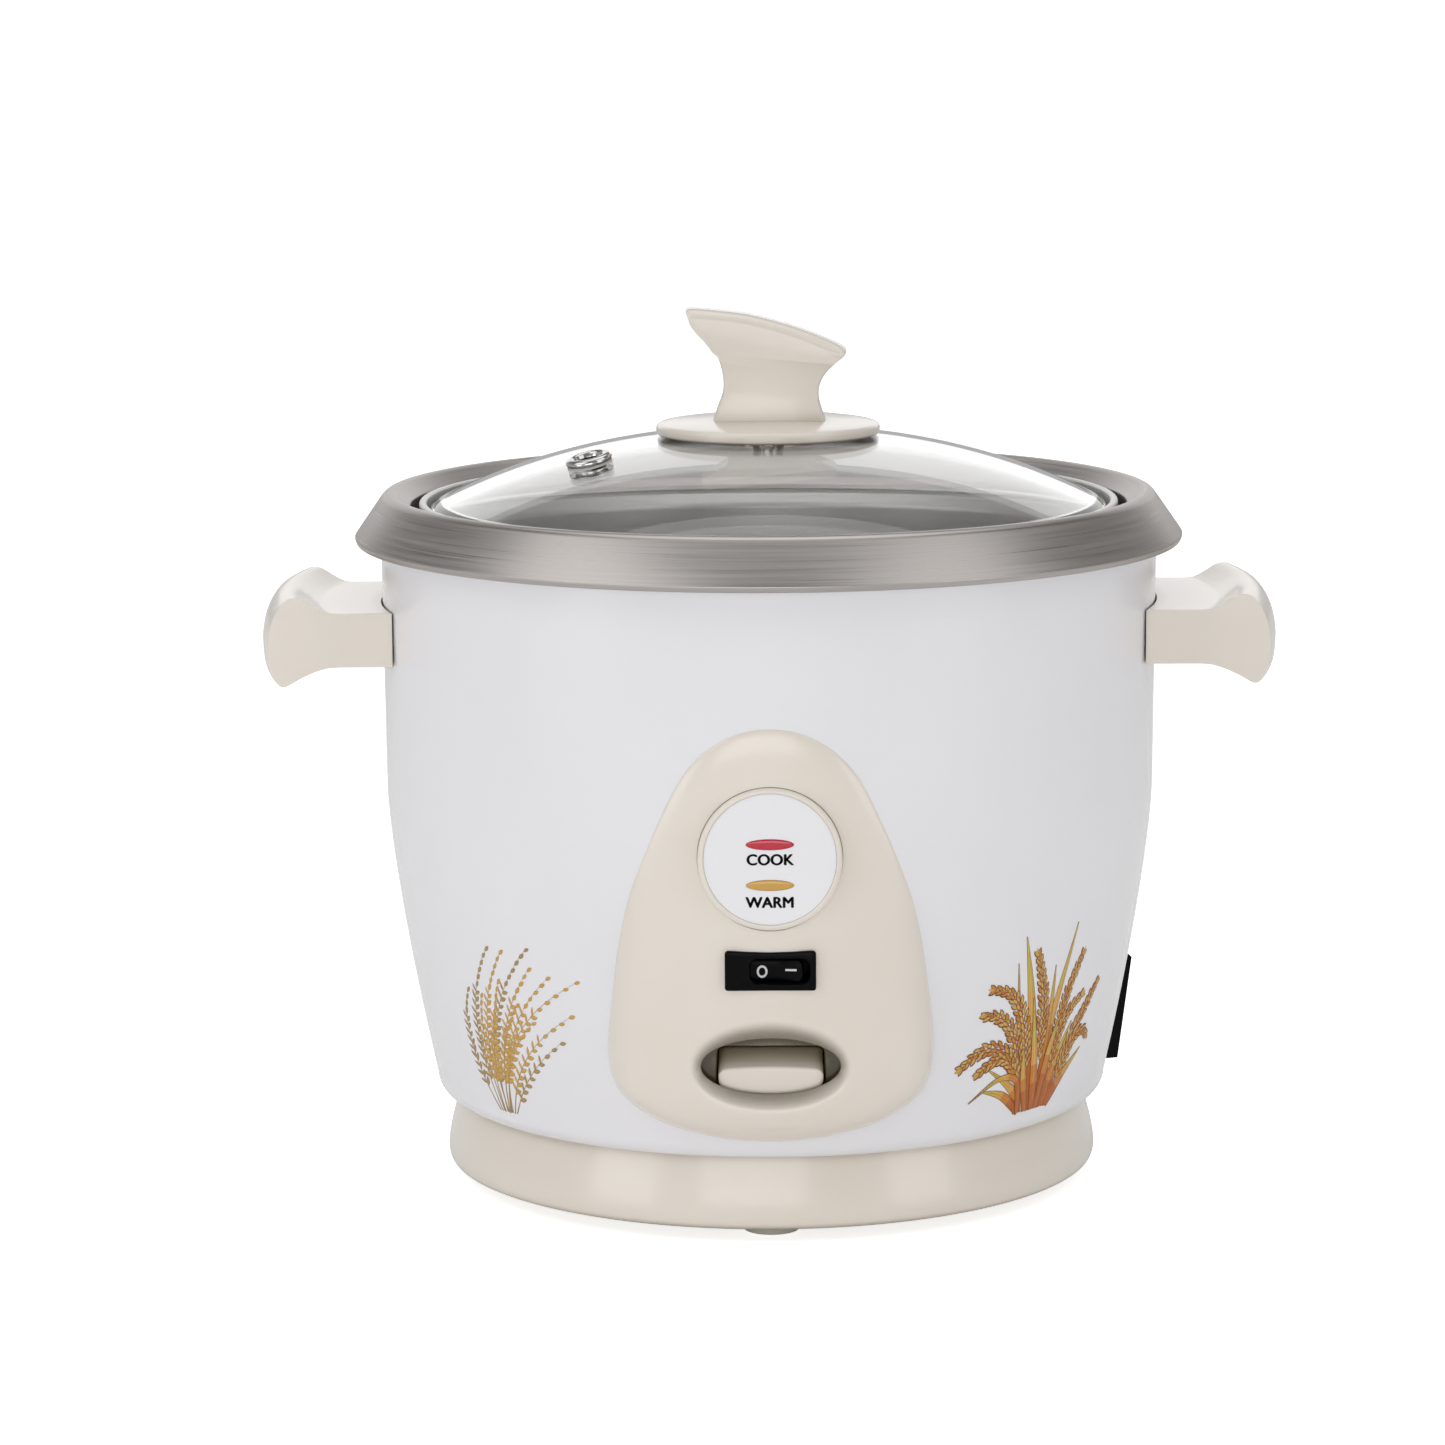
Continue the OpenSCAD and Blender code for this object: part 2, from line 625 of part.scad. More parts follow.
module inner_pot() {
    corner = 10;
    inner_r = pot_r - pot_wall;
    middle_r = pot_r - corner;
    middle_z = pot_floor + corner;
    k = corner - pot_wall;
    outer_bend = [for (a = [0 : 15 : 90]) [middle_r + corner * sin(a), middle_z - corner * cos(a)]];
    inner_bend = [for (a = [90 : -15 : 0]) [middle_r + k * sin(a), middle_z - k * cos(a)]];
    lip = [[pot_r, 198], [101.3, 201], [103.2, 203.2], [106.2, 204], [106.9, 204.9], [106.9, 207.7],
        [107.9, 208], [108.1, 209.5], [107.7, 210.8], [106.8, 211.4], [106, 211.2], [105.7, 210.4],
        [105.7, 205.7],
        [105.2, 205.2], [102.8, 204.5], [100.6, 202.2], [inner_r, 199]];
    color([0.74, 0.74, 0.73]) rotate_extrude() polygon(concat([[0, pot_floor]], outer_bend, lip, inner_bend,
        [[0, pot_floor + pot_wall]]));
}

// ---------- lid ----------

vent_x = -54;
vent_y = -32;
vent_r = norm([vent_x, vent_y]);
vent_lean = atan(dome_power * dome_rise / glass_r * pow(vent_r / glass_r, dome_power - 1));
module at_vent() {
    translate([vent_x, vent_y, glass_z(vent_r)]) rotate([0, 0, atan2(vent_y, vent_x)])
        rotate([0, vent_lean, 0]) children();
}

module glass_lid() {
    hole_r = 4.2;
    radii = [for (i = [0 : 15]) hole_r + (glass_r - 0.6 - hole_r) * i / 15];
    top = [for (r = radii) [r, glass_z(r)]];
    low = backwards([for (r = radii) [r, glass_z(r) - glass_t]]);
    color([0.85, 0.9, 0.88, 0.35]) difference() {
        rotate_extrude() polygon(concat(top, [[glass_r, glass_edge_z - 0.5],
            [glass_r, glass_edge_z - glass_t + 0.6]], low));
        at_vent() translate([0, 0, -8]) cylinder(r = 5.2, h = 14);
    }
}

module vent_eyelet() {
    color([0.8, 0.8, 0.8]) at_vent() rotate_extrude() polygon([[4, -5.4], [6.4, -5.6], [6.4, -4.9],
        [4.8, -4.6], [4.8, 0.9], [6.6, 0.9], [7.15, 1.3], [7.15, 2.1], [6.5, 2.9], [5.4, 3.1], [4.4, 2.6],
        [4, 1.8]]);
}

module vent_gasket() {
    color([0.8, 0.8, 0.78]) at_vent() difference() {
        translate([0, 0, 0.12]) cylinder(r = 6.9, h = 0.75);
        translate([0, 0, -1]) cylinder(r = 4.9, h = 4);
    }
}

module lid_knob() {
    half_depth = 6.5;
    low = 231.1;
    under = [for (r = [28 : -7 : 0]) [r, glass_z(r) + 0.62]];
    left = [[-17, 235.2], [-15.4, 239.8], [-13.9, 244], [-13.8, 248.7], [-15, 254], [-17.2, 258.8],
        [-19.8, 262.6], [-23, 266], [-25, 268.6], [-24.8, 269.8], [-22.6, 270.2]];
    right = [[-15.5, 269.5], [-7, 268.4], [1.5, 266.4], [10, 263.8], [17.4, 260.9], [22.7, 258.4],
        [24.2, 257], [23.8, 255.6], [21.6, 253.6], [17.9, 249.9], [16.1, 246.4], [15.8, 243],
        [16.4, 239.8], [18, 235.2]];
    color(cream) difference() {
        union() {
            rotate_extrude() polygon(concat([[0, 236]], [[20, 235.6], [32.6, 234.9], [knob_r - 0.5, 234.5],
                [knob_r, 233.8], [knob_r, 231.9], [knob_r - 0.6, low], [knob_r - 2, low]], under));
            slab_y(concat(smooth(left, 2), smooth(right, 2)), half_depth, -half_depth);
        }
        translate([0, 0, 225]) cylinder(r = 2.1, h = 22);
    }
}

module knob_gasket() {
    color([0.75, 0.75, 0.73]) rotate_extrude() polygon([[4.4, glass_z(4.4) + 0.07], [15, glass_z(15) + 0.07],
        [15, glass_z(15) + 0.55], [4.4, glass_z(4.4) + 0.5]]);
}

module knob_washer() {
    under = glass_z(14) - glass_t;
    color(steel) difference() {
        translate([0, 0, under - 1.2]) cylinder(r = 14, h = 1.15);
        translate([0, 0, under - 3]) cylinder(r = 2.3, h = 6);
    }
}

module knob_screw() {
    color(steel) translate([0, 0, glass_z(14) - glass_t - 3.7]) pan_screw(4.6, 2.45, 2, 17);
}

outer_shell();
rim_ring();
base_ring();
base_screws();
bottom_plate();
plate_screws();
rubber_feet();
left_handle();
right_handle();
handle_screws();
heat_shield();
control_panel();
lens_bezel();
indicator_disc();
cook_lamp();
warm_lamp();
lamp_holder();
neon_lamps();
switch_frame();
switch_rocker();
power_inlet();
inlet_pins();
inlet_screws();
heating_plate();
heating_element();
plate_bolts();
sensor_sleeve();
keep_warm_thermostat();
thermal_fuse();
sensor_cap();
sensor_ferrite();
sensor_spring();
release_spring();
magnet();
magnet_holder();
lever_bracket();
lever_pin();
lever_arm();
lever_knob();
microswitch();
microswitch_button();
inner_pot();
glass_lid();
vent_eyelet();
vent_gasket();
lid_knob();
knob_gasket();
knob_washer();
knob_screw();
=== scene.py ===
# Rice cooker with a steel rim, a glass lid and printed rice motifs: its visible pieces, finishes and studio.
# Shapes are written in millimetres and turned into metres as their meshes are made.
import json
import math
import random

import bmesh
import bpy
from mathutils import Matrix, Vector


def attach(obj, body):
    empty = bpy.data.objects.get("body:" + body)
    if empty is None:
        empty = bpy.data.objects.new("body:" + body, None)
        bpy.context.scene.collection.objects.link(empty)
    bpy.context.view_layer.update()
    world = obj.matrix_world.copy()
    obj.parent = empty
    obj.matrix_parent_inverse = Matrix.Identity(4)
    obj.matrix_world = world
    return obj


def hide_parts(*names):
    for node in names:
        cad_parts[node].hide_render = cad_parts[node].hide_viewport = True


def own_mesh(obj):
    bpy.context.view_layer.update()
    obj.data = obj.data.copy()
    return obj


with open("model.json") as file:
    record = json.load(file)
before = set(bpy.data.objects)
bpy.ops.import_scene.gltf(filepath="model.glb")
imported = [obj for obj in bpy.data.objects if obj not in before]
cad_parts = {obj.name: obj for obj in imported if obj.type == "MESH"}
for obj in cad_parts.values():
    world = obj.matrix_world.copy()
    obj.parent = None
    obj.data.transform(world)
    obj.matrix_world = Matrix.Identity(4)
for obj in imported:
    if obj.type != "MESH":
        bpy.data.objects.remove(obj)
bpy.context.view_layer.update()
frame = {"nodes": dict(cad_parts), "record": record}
MM = 0.001
rng = random.Random(11)


# ---------- outlines ----------

def curve_through(points, steps):
    """Smooth curve through 2D points, with the first and last only setting how it starts and ends."""
    out = []
    for i in range(1, len(points) - 2):
        a, b, c, d = (Vector(points[k]) for k in (i - 1, i, i + 1, i + 2))
        for s in range(steps):
            t = s / steps
            out.append(0.5 * (2 * b + (c - a) * t + (2 * a - 5 * b + 4 * c - d) * t * t
                              + (3 * b - a - 3 * c + d) * t ** 3))
    out.append(Vector(points[-2]))
    return out


def with_arcs(corners, steps=6, closed=True):
    """Outline through (x, y, radius) corners, each turned with an arc of its own radius."""
    out = []
    last = len(corners) - 1
    for i, (x, y, radius) in enumerate(corners):
        here = Vector((x, y))
        if radius == 0 or (not closed and i in (0, last)):
            out.append(here)
            continue
        before = (Vector(corners[i - 1][:2]) - here).normalized()
        after = (Vector(corners[(i + 1) % len(corners)][:2]) - here).normalized()
        half = before.angle(after) / 2
        centre = here + (before + after).normalized() * radius / math.sin(half)
        start = here + before * radius / math.tan(half) - centre
        end = here + after * radius / math.tan(half) - centre
        for s in range(steps + 1):
            out.append(centre + start.lerp(end, s / steps).normalized() * radius)
    return out


def spread_evenly(points, count):
    """The closed outline again, with its points at equal distances."""
    lengths = [(points[(i + 1) % len(points)] - p).length for i, p in enumerate(points)]
    step = sum(lengths) / count
    out, i, done = [], 0, 0.0
    for k in range(count):
        while done + lengths[i] < k * step:
            done += lengths[i]
            i += 1
        out.append(points[i].lerp(points[(i + 1) % len(points)], (k * step - done) / lengths[i]))
    return out


def oval(half_w, half_h, angle):
    return Vector((half_w * math.cos(angle), half_h * math.sin(angle)))


def box_edge(half_w, half_h, angle):
    """Where a ray from a box's middle, at this angle, meets its edge. The corners are slightly round."""
    c, s = math.cos(angle), math.sin(angle)
    reach = (abs(c / half_w) ** 14 + abs(s / half_h) ** 14) ** (-1 / 14)
    return Vector((c * reach, s * reach))


# ---------- meshes ----------

def mesh_piece(name, points, faces, sharp_above=32):
    """New object from points in millimetres, with its normals turned outwards."""
    mesh = bpy.data.meshes.new(name)
    mesh.from_pydata([Vector(p) * MM for p in points], [], faces)
    work = bmesh.new()
    work.from_mesh(mesh)
    bmesh.ops.recalc_face_normals(work, faces=work.faces)
    work.to_mesh(mesh)
    work.free()
    mesh.shade_smooth()
    mesh.set_sharp_from_angle(angle=math.radians(sharp_above))
    piece = bpy.data.objects.new(name, mesh)
    bpy.context.scene.collection.objects.link(piece)
    return piece


def loft(rings, closed=False, cap_first=False, cap_last=False):
    """Points and faces of a skin over rings that all have the same number of points."""
    size = len(rings[0])
    points = [p for ring in rings for p in ring]
    faces = []
    spans = len(rings) if closed else len(rings) - 1
    for i in range(spans):
        a, b = i * size, ((i + 1) % len(rings)) * size
        for j in range(size):
            k = (j + 1) % size
            faces.append((a + j, b + j, b + k, a + k))
    if cap_first:
        faces.append(tuple(range(size)))
    if cap_last:
        start = (len(rings) - 1) * size
        faces.append(tuple(range(start, start + size)))
    return points, faces


def turned(profile, segments=192):
    """Points and faces of a solid turned about Z from (radius, height) points, closed on the axis."""
    points, faces, rows = [], [], []
    for r, z in profile:
        if r < 1e-4:
            rows.append([len(points)] * segments)
            points.append((0, 0, z))
            continue
        rows.append([len(points) + j for j in range(segments)])
        for j in range(segments):
            angle = 2 * math.pi * j / segments
            points.append((r * math.cos(angle), r * math.sin(angle), z))
    on_axis = profile[0][0] < 1e-4
    for i in range(len(rows) - 1 if on_axis else len(rows)):
        low, high = rows[i], rows[(i + 1) % len(rows)]
        for j in range(segments):
            k = (j + 1) % segments
            face = [low[j], low[k], high[k], high[j]]
            faces.append(tuple(dict.fromkeys(face)))
    return points, faces


def turned_piece(name, profile, segments=192, sharp_above=32):
    return mesh_piece(name, *turned(profile, segments), sharp_above)


def dish(name, profile, matrix, segments=96, sharp_above=32):
    """A small turned piece, stood up by a matrix in millimetres."""
    points, faces = turned(profile, segments)
    return mesh_piece(name, [matrix @ Vector(p) for p in points], faces, sharp_above)


def joined(parts):
    """Several (points, faces) pairs as one."""
    points, faces = [], []
    for part_points, part_faces in parts:
        start = len(points)
        points += part_points
        faces += [tuple(start + v for v in face) for face in part_faces]
    return points, faces


def bar_mesh(outline, low, high, to_3d):
    """Points and faces of a 2D outline pulled from low to high. to_3d(x, y, h) places a point."""
    return loft([[to_3d(p[0], p[1], h) for p in outline] for h in (low, high)], cap_first=True, cap_last=True)


def settle_modifiers(piece):
    """Makes what the modifiers show the piece's own mesh."""
    seen = bpy.context.evaluated_depsgraph_get()
    mesh = bpy.data.meshes.new_from_object(piece.evaluated_get(seen))
    piece.modifiers.clear()
    piece.data = mesh


def cut_away(piece, cutters):
    """Cuts closed shapes, given as (points, faces) pairs, out of the piece."""
    for number, (points, faces) in enumerate(cutters):
        cutter = mesh_piece(f"cutter_{number}", points, faces)
        cut = piece.modifiers.new("cut", "BOOLEAN")
        cut.operation = "DIFFERENCE"
        cut.solver = "EXACT"
        cut.object = cutter
        settle_modifiers(piece)
        bpy.data.objects.remove(cutter)


def soften(piece, width, segments=3, angle=30):
    """Rounds the piece's edges by a width in millimetres."""
    bevel = piece.modifiers.new("soft edges", "BEVEL")
    bevel.width = width * MM
    bevel.segments = segments
    bevel.limit_method = "ANGLE"
    bevel.angle_limit = math.radians(angle)
    bevel.harden_normals = True
    bevel.miter_outer = "MITER_ARC"
    return piece


def place(piece, body, slot, nodes=()):
    """Rides the piece on its body, in its finish. All the cream finishes are one slot of the record."""
    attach(piece, body)
    if nodes:
        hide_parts(*nodes)
    if not piece.data.materials:
        piece.data.materials.append(finishes[slot])
    return piece


# ---------- shader groups ----------

class Wiring:
    """Places nodes in one shader tree. A value that is a socket is linked, and any other is set."""

    def __init__(self, tree):
        self.tree = tree

    def node(self, kind, inputs=None, **settings):
        made = self.tree.nodes.new("ShaderNode" + kind)
        for key, value in settings.items():
            setattr(made, key, value)
        for key, value in (inputs or {}).items():
            if isinstance(value, bpy.types.NodeSocket):
                self.tree.links.new(value, made.inputs[key])
            else:
                made.inputs[key].default_value = value
        return made

    def math(self, operation, *values, clamp=False):
        return self.node("Math", dict(enumerate(values)), operation=operation, use_clamp=clamp).outputs[0]

    def noise(self, vector, scale, detail=3.0, rough=0.5):
        return self.node("TexNoise", {"Vector": vector, "Scale": scale, "Detail": detail,
                                      "Roughness": rough}).outputs["Fac"]

    def blend(self, amount, first, second):
        mix = self.node("Mix", {0: amount, 6: first, 7: second}, data_type="RGBA")
        return mix.outputs[2]

    def spread(self, value, low, high, new_low=0.0, new_high=1.0):
        return self.node("MapRange", {"Value": value, "From Min": low, "From Max": high,
                                      "To Min": new_low, "To Max": new_high}).outputs["Result"]


def shader_group(name, inputs, outputs):
    """Empty group with its sockets: (tree wiring, input sockets by name, output node)."""
    tree = bpy.data.node_groups.new(name, "ShaderNodeTree")
    kinds = {"number": "NodeSocketFloat", "colour": "NodeSocketColor"}
    for label, kind, value in inputs:
        tree.interface.new_socket(name=label, in_out="INPUT", socket_type=kinds[kind]).default_value = value
    for label, kind in outputs:
        tree.interface.new_socket(name=label, in_out="OUTPUT", socket_type=kinds[kind])
    wires = Wiring(tree)
    entry = tree.nodes.new("NodeGroupInput")
    leave = tree.nodes.new("NodeGroupOutput")
    return wires, {s.name: s for s in entry.outputs}, leave


def make_moulding_group():
    """Moulded or painted surface: faint clouding of its colour and gloss, and a fine skin."""
    w, given, leave = shader_group(
        "Moulded Skin",
        [("Colour", "colour", (0.8, 0.8, 0.8, 1)), ("Shade", "colour", (0.7, 0.7, 0.7, 1)),
         ("Clouding", "number", 0.5), ("Roughness", "number", 0.3), ("Gloss Change", "number", 0.08),
         ("Grain Scale", "number", 2500.0)],
        [("Colour", "colour"), ("Roughness", "number"), ("Height", "number")])
    place_on = w.node("TexCoord").outputs["Object"]
    clouds = w.spread(w.noise(place_on, 22.0, 4.0, 0.55), 0.32, 0.72)
    smears = w.noise(w.node("VectorMath", {0: place_on, 1: (1.0, 1.0, 3.2)}, operation="MULTIPLY").outputs[0],
                     60.0, 5.0, 0.6)
    amount = w.math("MULTIPLY", clouds, given["Clouding"])
    fine = w.noise(place_on, given["Grain Scale"], 2.0, 0.6)
    change = w.math("MULTIPLY", w.math("SUBTRACT", smears, 0.5), given["Gloss Change"])
    w.tree.links.new(w.blend(amount, given["Colour"], given["Shade"]), leave.inputs["Colour"])
    w.tree.links.new(w.math("ADD", given["Roughness"], change, clamp=True), leave.inputs["Roughness"])
    w.tree.links.new(fine, leave.inputs["Height"])
    return w.tree


def make_brushing_group():
    """Metal brushed or turned around Z: fine rings, broken along their length, over slow patches."""
    w, given, leave = shader_group(
        "Turned Brushing",
        [("Colour", "colour", (0.6, 0.6, 0.6, 1)), ("Dark", "colour", (0.4, 0.4, 0.4, 1)),
         ("Lines", "number", 2200.0), ("Patches", "number", 0.5), ("Roughness", "number", 0.3),
         ("Gloss Change", "number", 0.15)],
        [("Colour", "colour"), ("Roughness", "number"), ("Height", "number")])
    split = w.node("SeparateXYZ", {0: w.node("TexCoord").outputs["Object"]})
    x, y, z = split.outputs
    radius = w.math("SQRT", w.math("ADD", w.math("MULTIPLY", x, x), w.math("MULTIPLY", y, y)))
    turn = w.math("ARCTAN2", y, x)
    across = w.node("CombineXYZ", {0: w.math("MULTIPLY", radius, given["Lines"]),
                                   1: w.math("MULTIPLY", z, given["Lines"]),
                                   2: w.math("MULTIPLY", turn, 1.3)}).outputs[0]
    lines = w.noise(across, 1.0, 4.0, 0.65)
    long_lines = w.noise(w.node("VectorMath", {0: across, 1: (0.22, 0.22, 1.6)},
                                operation="MULTIPLY").outputs[0], 1.0, 3.0, 0.5)
    patches = w.noise(w.node("CombineXYZ", {0: w.math("MULTIPLY", turn, 1.6),
                                            1: w.math("MULTIPLY", z, 90.0)}).outputs[0], 1.0, 3.0, 0.5)
    streaks = w.spread(w.math("ADD", w.math("MULTIPLY", lines, 0.6), w.math("MULTIPLY", long_lines, 0.4)),
                       0.36, 0.64)
    dark = w.math("MAXIMUM", w.math("MULTIPLY", w.math("SUBTRACT", 1.0, streaks), 0.55),
                  w.math("MULTIPLY", w.spread(patches, 0.45, 0.75), given["Patches"]))
    change = w.math("MULTIPLY", w.math("SUBTRACT", streaks, 0.5), given["Gloss Change"])
    w.tree.links.new(w.blend(dark, given["Colour"], given["Dark"]), leave.inputs["Colour"])
    w.tree.links.new(w.math("ADD", given["Roughness"], change, clamp=True), leave.inputs["Roughness"])
    w.tree.links.new(lines, leave.inputs["Height"])
    return w.tree


def make_plating_group():
    """Plated or rolled sheet: soft crystal patches, rolling lines and small marks."""
    w, given, leave = shader_group(
        "Plated Sheet",
        [("Colour", "colour", (0.6, 0.6, 0.6, 1)), ("Dark", "colour", (0.4, 0.4, 0.4, 1)),
         ("Crystal Scale", "number", 120.0), ("Roughness", "number", 0.35), ("Gloss Change", "number", 0.2)],
        [("Colour", "colour"), ("Roughness", "number"), ("Height", "number")])
    place_on = w.node("TexCoord").outputs["Object"]
    crystals = w.node("TexVoronoi", {"Vector": place_on, "Scale": given["Crystal Scale"]})
    tone = w.node("SeparateColor", {0: crystals.outputs["Color"]}).outputs[0]
    stretched = w.node("VectorMath", {0: place_on, 1: (1.0, 30.0, 30.0)}, operation="MULTIPLY").outputs[0]
    rolled = w.noise(stretched, 40.0, 3.0, 0.6)
    mixed = w.math("ADD", w.math("MULTIPLY", tone, 0.5), w.math("MULTIPLY", rolled, 0.5))
    change = w.math("MULTIPLY", w.math("SUBTRACT", mixed, 0.5), given["Gloss Change"])
    w.tree.links.new(w.blend(mixed, given["Colour"], given["Dark"]), leave.inputs["Colour"])
    w.tree.links.new(w.math("ADD", given["Roughness"], change, clamp=True), leave.inputs["Roughness"])
    w.tree.links.new(rolled, leave.inputs["Height"])
    return w.tree


def make_painted_shade_group():
    """Painted shade: darkens a colour towards a shade colour where ambient occlusion finds the surface closed
    in, everywhere or within an upright oval.
    """
    w, given, leave = shader_group(
        "Painted Hollow Shade",
        [("Colour", "colour", (0.8, 0.8, 0.8, 1)), ("Shade", "colour", (0.3, 0.25, 0.15, 1)),
         ("Reach", "number", 0.008), ("Open", "number", 0.88), ("Closed", "number", 0.3),
         ("Height", "number", 0.0), ("Half Width", "number", 9.0), ("Half Height", "number", 9.0)],
        [("Colour", "colour")])
    # painted shade: the ambient occlusion only sets how much darker colour is painted in, no light is
    # computed
    openness = w.node("AmbientOcclusion", {"Distance": given["Reach"]}, samples=12).outputs["AO"]
    spot = w.node("SeparateXYZ", {"Vector": w.node("TexCoord").outputs["Object"]}).outputs
    across = w.math("DIVIDE", spot["X"], given["Half Width"])
    up = w.math("DIVIDE", w.math("SUBTRACT", spot["Z"], given["Height"]), given["Half Height"])
    away = w.math("SQRT", w.math("ADD", w.math("MULTIPLY", across, across), w.math("MULTIPLY", up, up)))
    # painted shade amount: strongest where the surface is closed in, and kept inside the oval
    amount = w.math("MULTIPLY", w.spread(openness, given["Open"], given["Closed"]), w.spread(away, 1.0, 0.84))
    w.tree.links.new(w.blend(amount, given["Colour"], given["Shade"]), leave.inputs["Colour"])
    return w.tree


moulding = make_moulding_group()
brushing = make_brushing_group()
plating = make_plating_group()
painted_shade_group = make_painted_shade_group()


# ---------- finishes ----------

WINDOW_Z = 57.9  # middle of the cook lever's opening


def finish_from(name, group, group_values, bump=0.05, depth=0.02, **shader):
    """Material whose colour, roughness and bump come from a shader group, and the rest from plain values."""
    material = bpy.data.materials.new(name)
    material.use_nodes = True
    w = Wiring(material.node_tree)
    w.tree.nodes.clear()
    effect = w.node("Group", node_tree=group)
    for label, value in group_values.items():
        effect.inputs[label].default_value = value
    relief = w.node("Bump", {"Strength": bump, "Distance": depth * MM, "Height": effect.outputs["Height"]})
    surface = w.node("BsdfPrincipled", {"Base Color": effect.outputs["Colour"],
                                        "Roughness": effect.outputs["Roughness"],
                                        "Normal": relief.outputs["Normal"]})
    for label, value in shader.items():
        surface.inputs[label.replace("_", " ")].default_value = value
    w.node("OutputMaterial", {"Surface": surface.outputs[0]})
    return material


def around_z(material, amount):
    """Stretches the highlights of a turned metal across its rings."""
    w = Wiring(material.node_tree)
    surface = next(n for n in material.node_tree.nodes if n.type == "BSDF_PRINCIPLED")
    surface.inputs["Anisotropic"].default_value = amount
    tangent = w.node("Tangent", direction_type="RADIAL", axis="Z")
    w.tree.links.new(tangent.outputs[0], surface.inputs["Tangent"])
    return material


def paint_shade_in_hollows(material, shade, reach, from_open, to_closed, **within):
    """Paints shade into the base colour of a material's closed-in parts, everywhere or within an oval."""
    w = Wiring(material.node_tree)
    effect = next(n for n in material.node_tree.nodes if n.type == "GROUP")
    surface = next(n for n in material.node_tree.nodes if n.type == "BSDF_PRINCIPLED")
    hollow = w.node("Group", {"Colour": effect.outputs["Colour"], "Shade": shade, "Reach": reach * MM,
                              "Open": from_open, "Closed": to_closed,
                              **{label.replace("_", " "): size * MM for label, size in within.items()}},
                    node_tree=painted_shade_group)
    # painted shade: the darkened colour becomes the base colour
    w.tree.links.new(hollow.outputs["Colour"], surface.inputs["Base Color"])
    return material


def rgb(r, g, b):
    """Linear colour from screen values of 0 to 255."""
    def linear(c):
        c /= 255
        return c / 12.92 if c <= 0.04045 else ((c + 0.055) / 1.055) ** 2.4
    return (linear(r), linear(g), linear(b), 1)


def plastic(name, colour, shade, roughness=0.3, grain=2500.0, bump=0.08, **shader):
    return finish_from(name, moulding,
                       {"Colour": colour, "Shade": shade, "Roughness": roughness, "Grain Scale": grain},
                       bump=bump, **shader)


def sheet_metal(name, colour, dark, roughness=0.35, crystals=120.0, **shader):
    return finish_from(name, plating, {"Colour": colour, "Dark": dark, "Roughness": roughness,
                                       "Crystal Scale": crystals}, bump=0.1, Metallic=1.0, **shader)


def glass_finish(name, tint, roughness):
    """Clear glass with the faintest smears in its gloss."""
    material = bpy.data.materials.new(name)
    material.use_nodes = True
    w = Wiring(material.node_tree)
    w.tree.nodes.clear()
    effect = w.node("Group", node_tree=moulding)
    effect.inputs["Roughness"].default_value = roughness
    effect.inputs["Gloss Change"].default_value = 0.02
    effect.inputs["Colour"].default_value = tint
    effect.inputs["Shade"].default_value = tint
    surface = w.node("BsdfPrincipled", {"Base Color": effect.outputs["Colour"],
                                        "Roughness": effect.outputs["Roughness"], "IOR": 1.47,
                                        "Transmission Weight": 1.0})
    w.node("OutputMaterial", {"Surface": surface.outputs[0]})
    return material


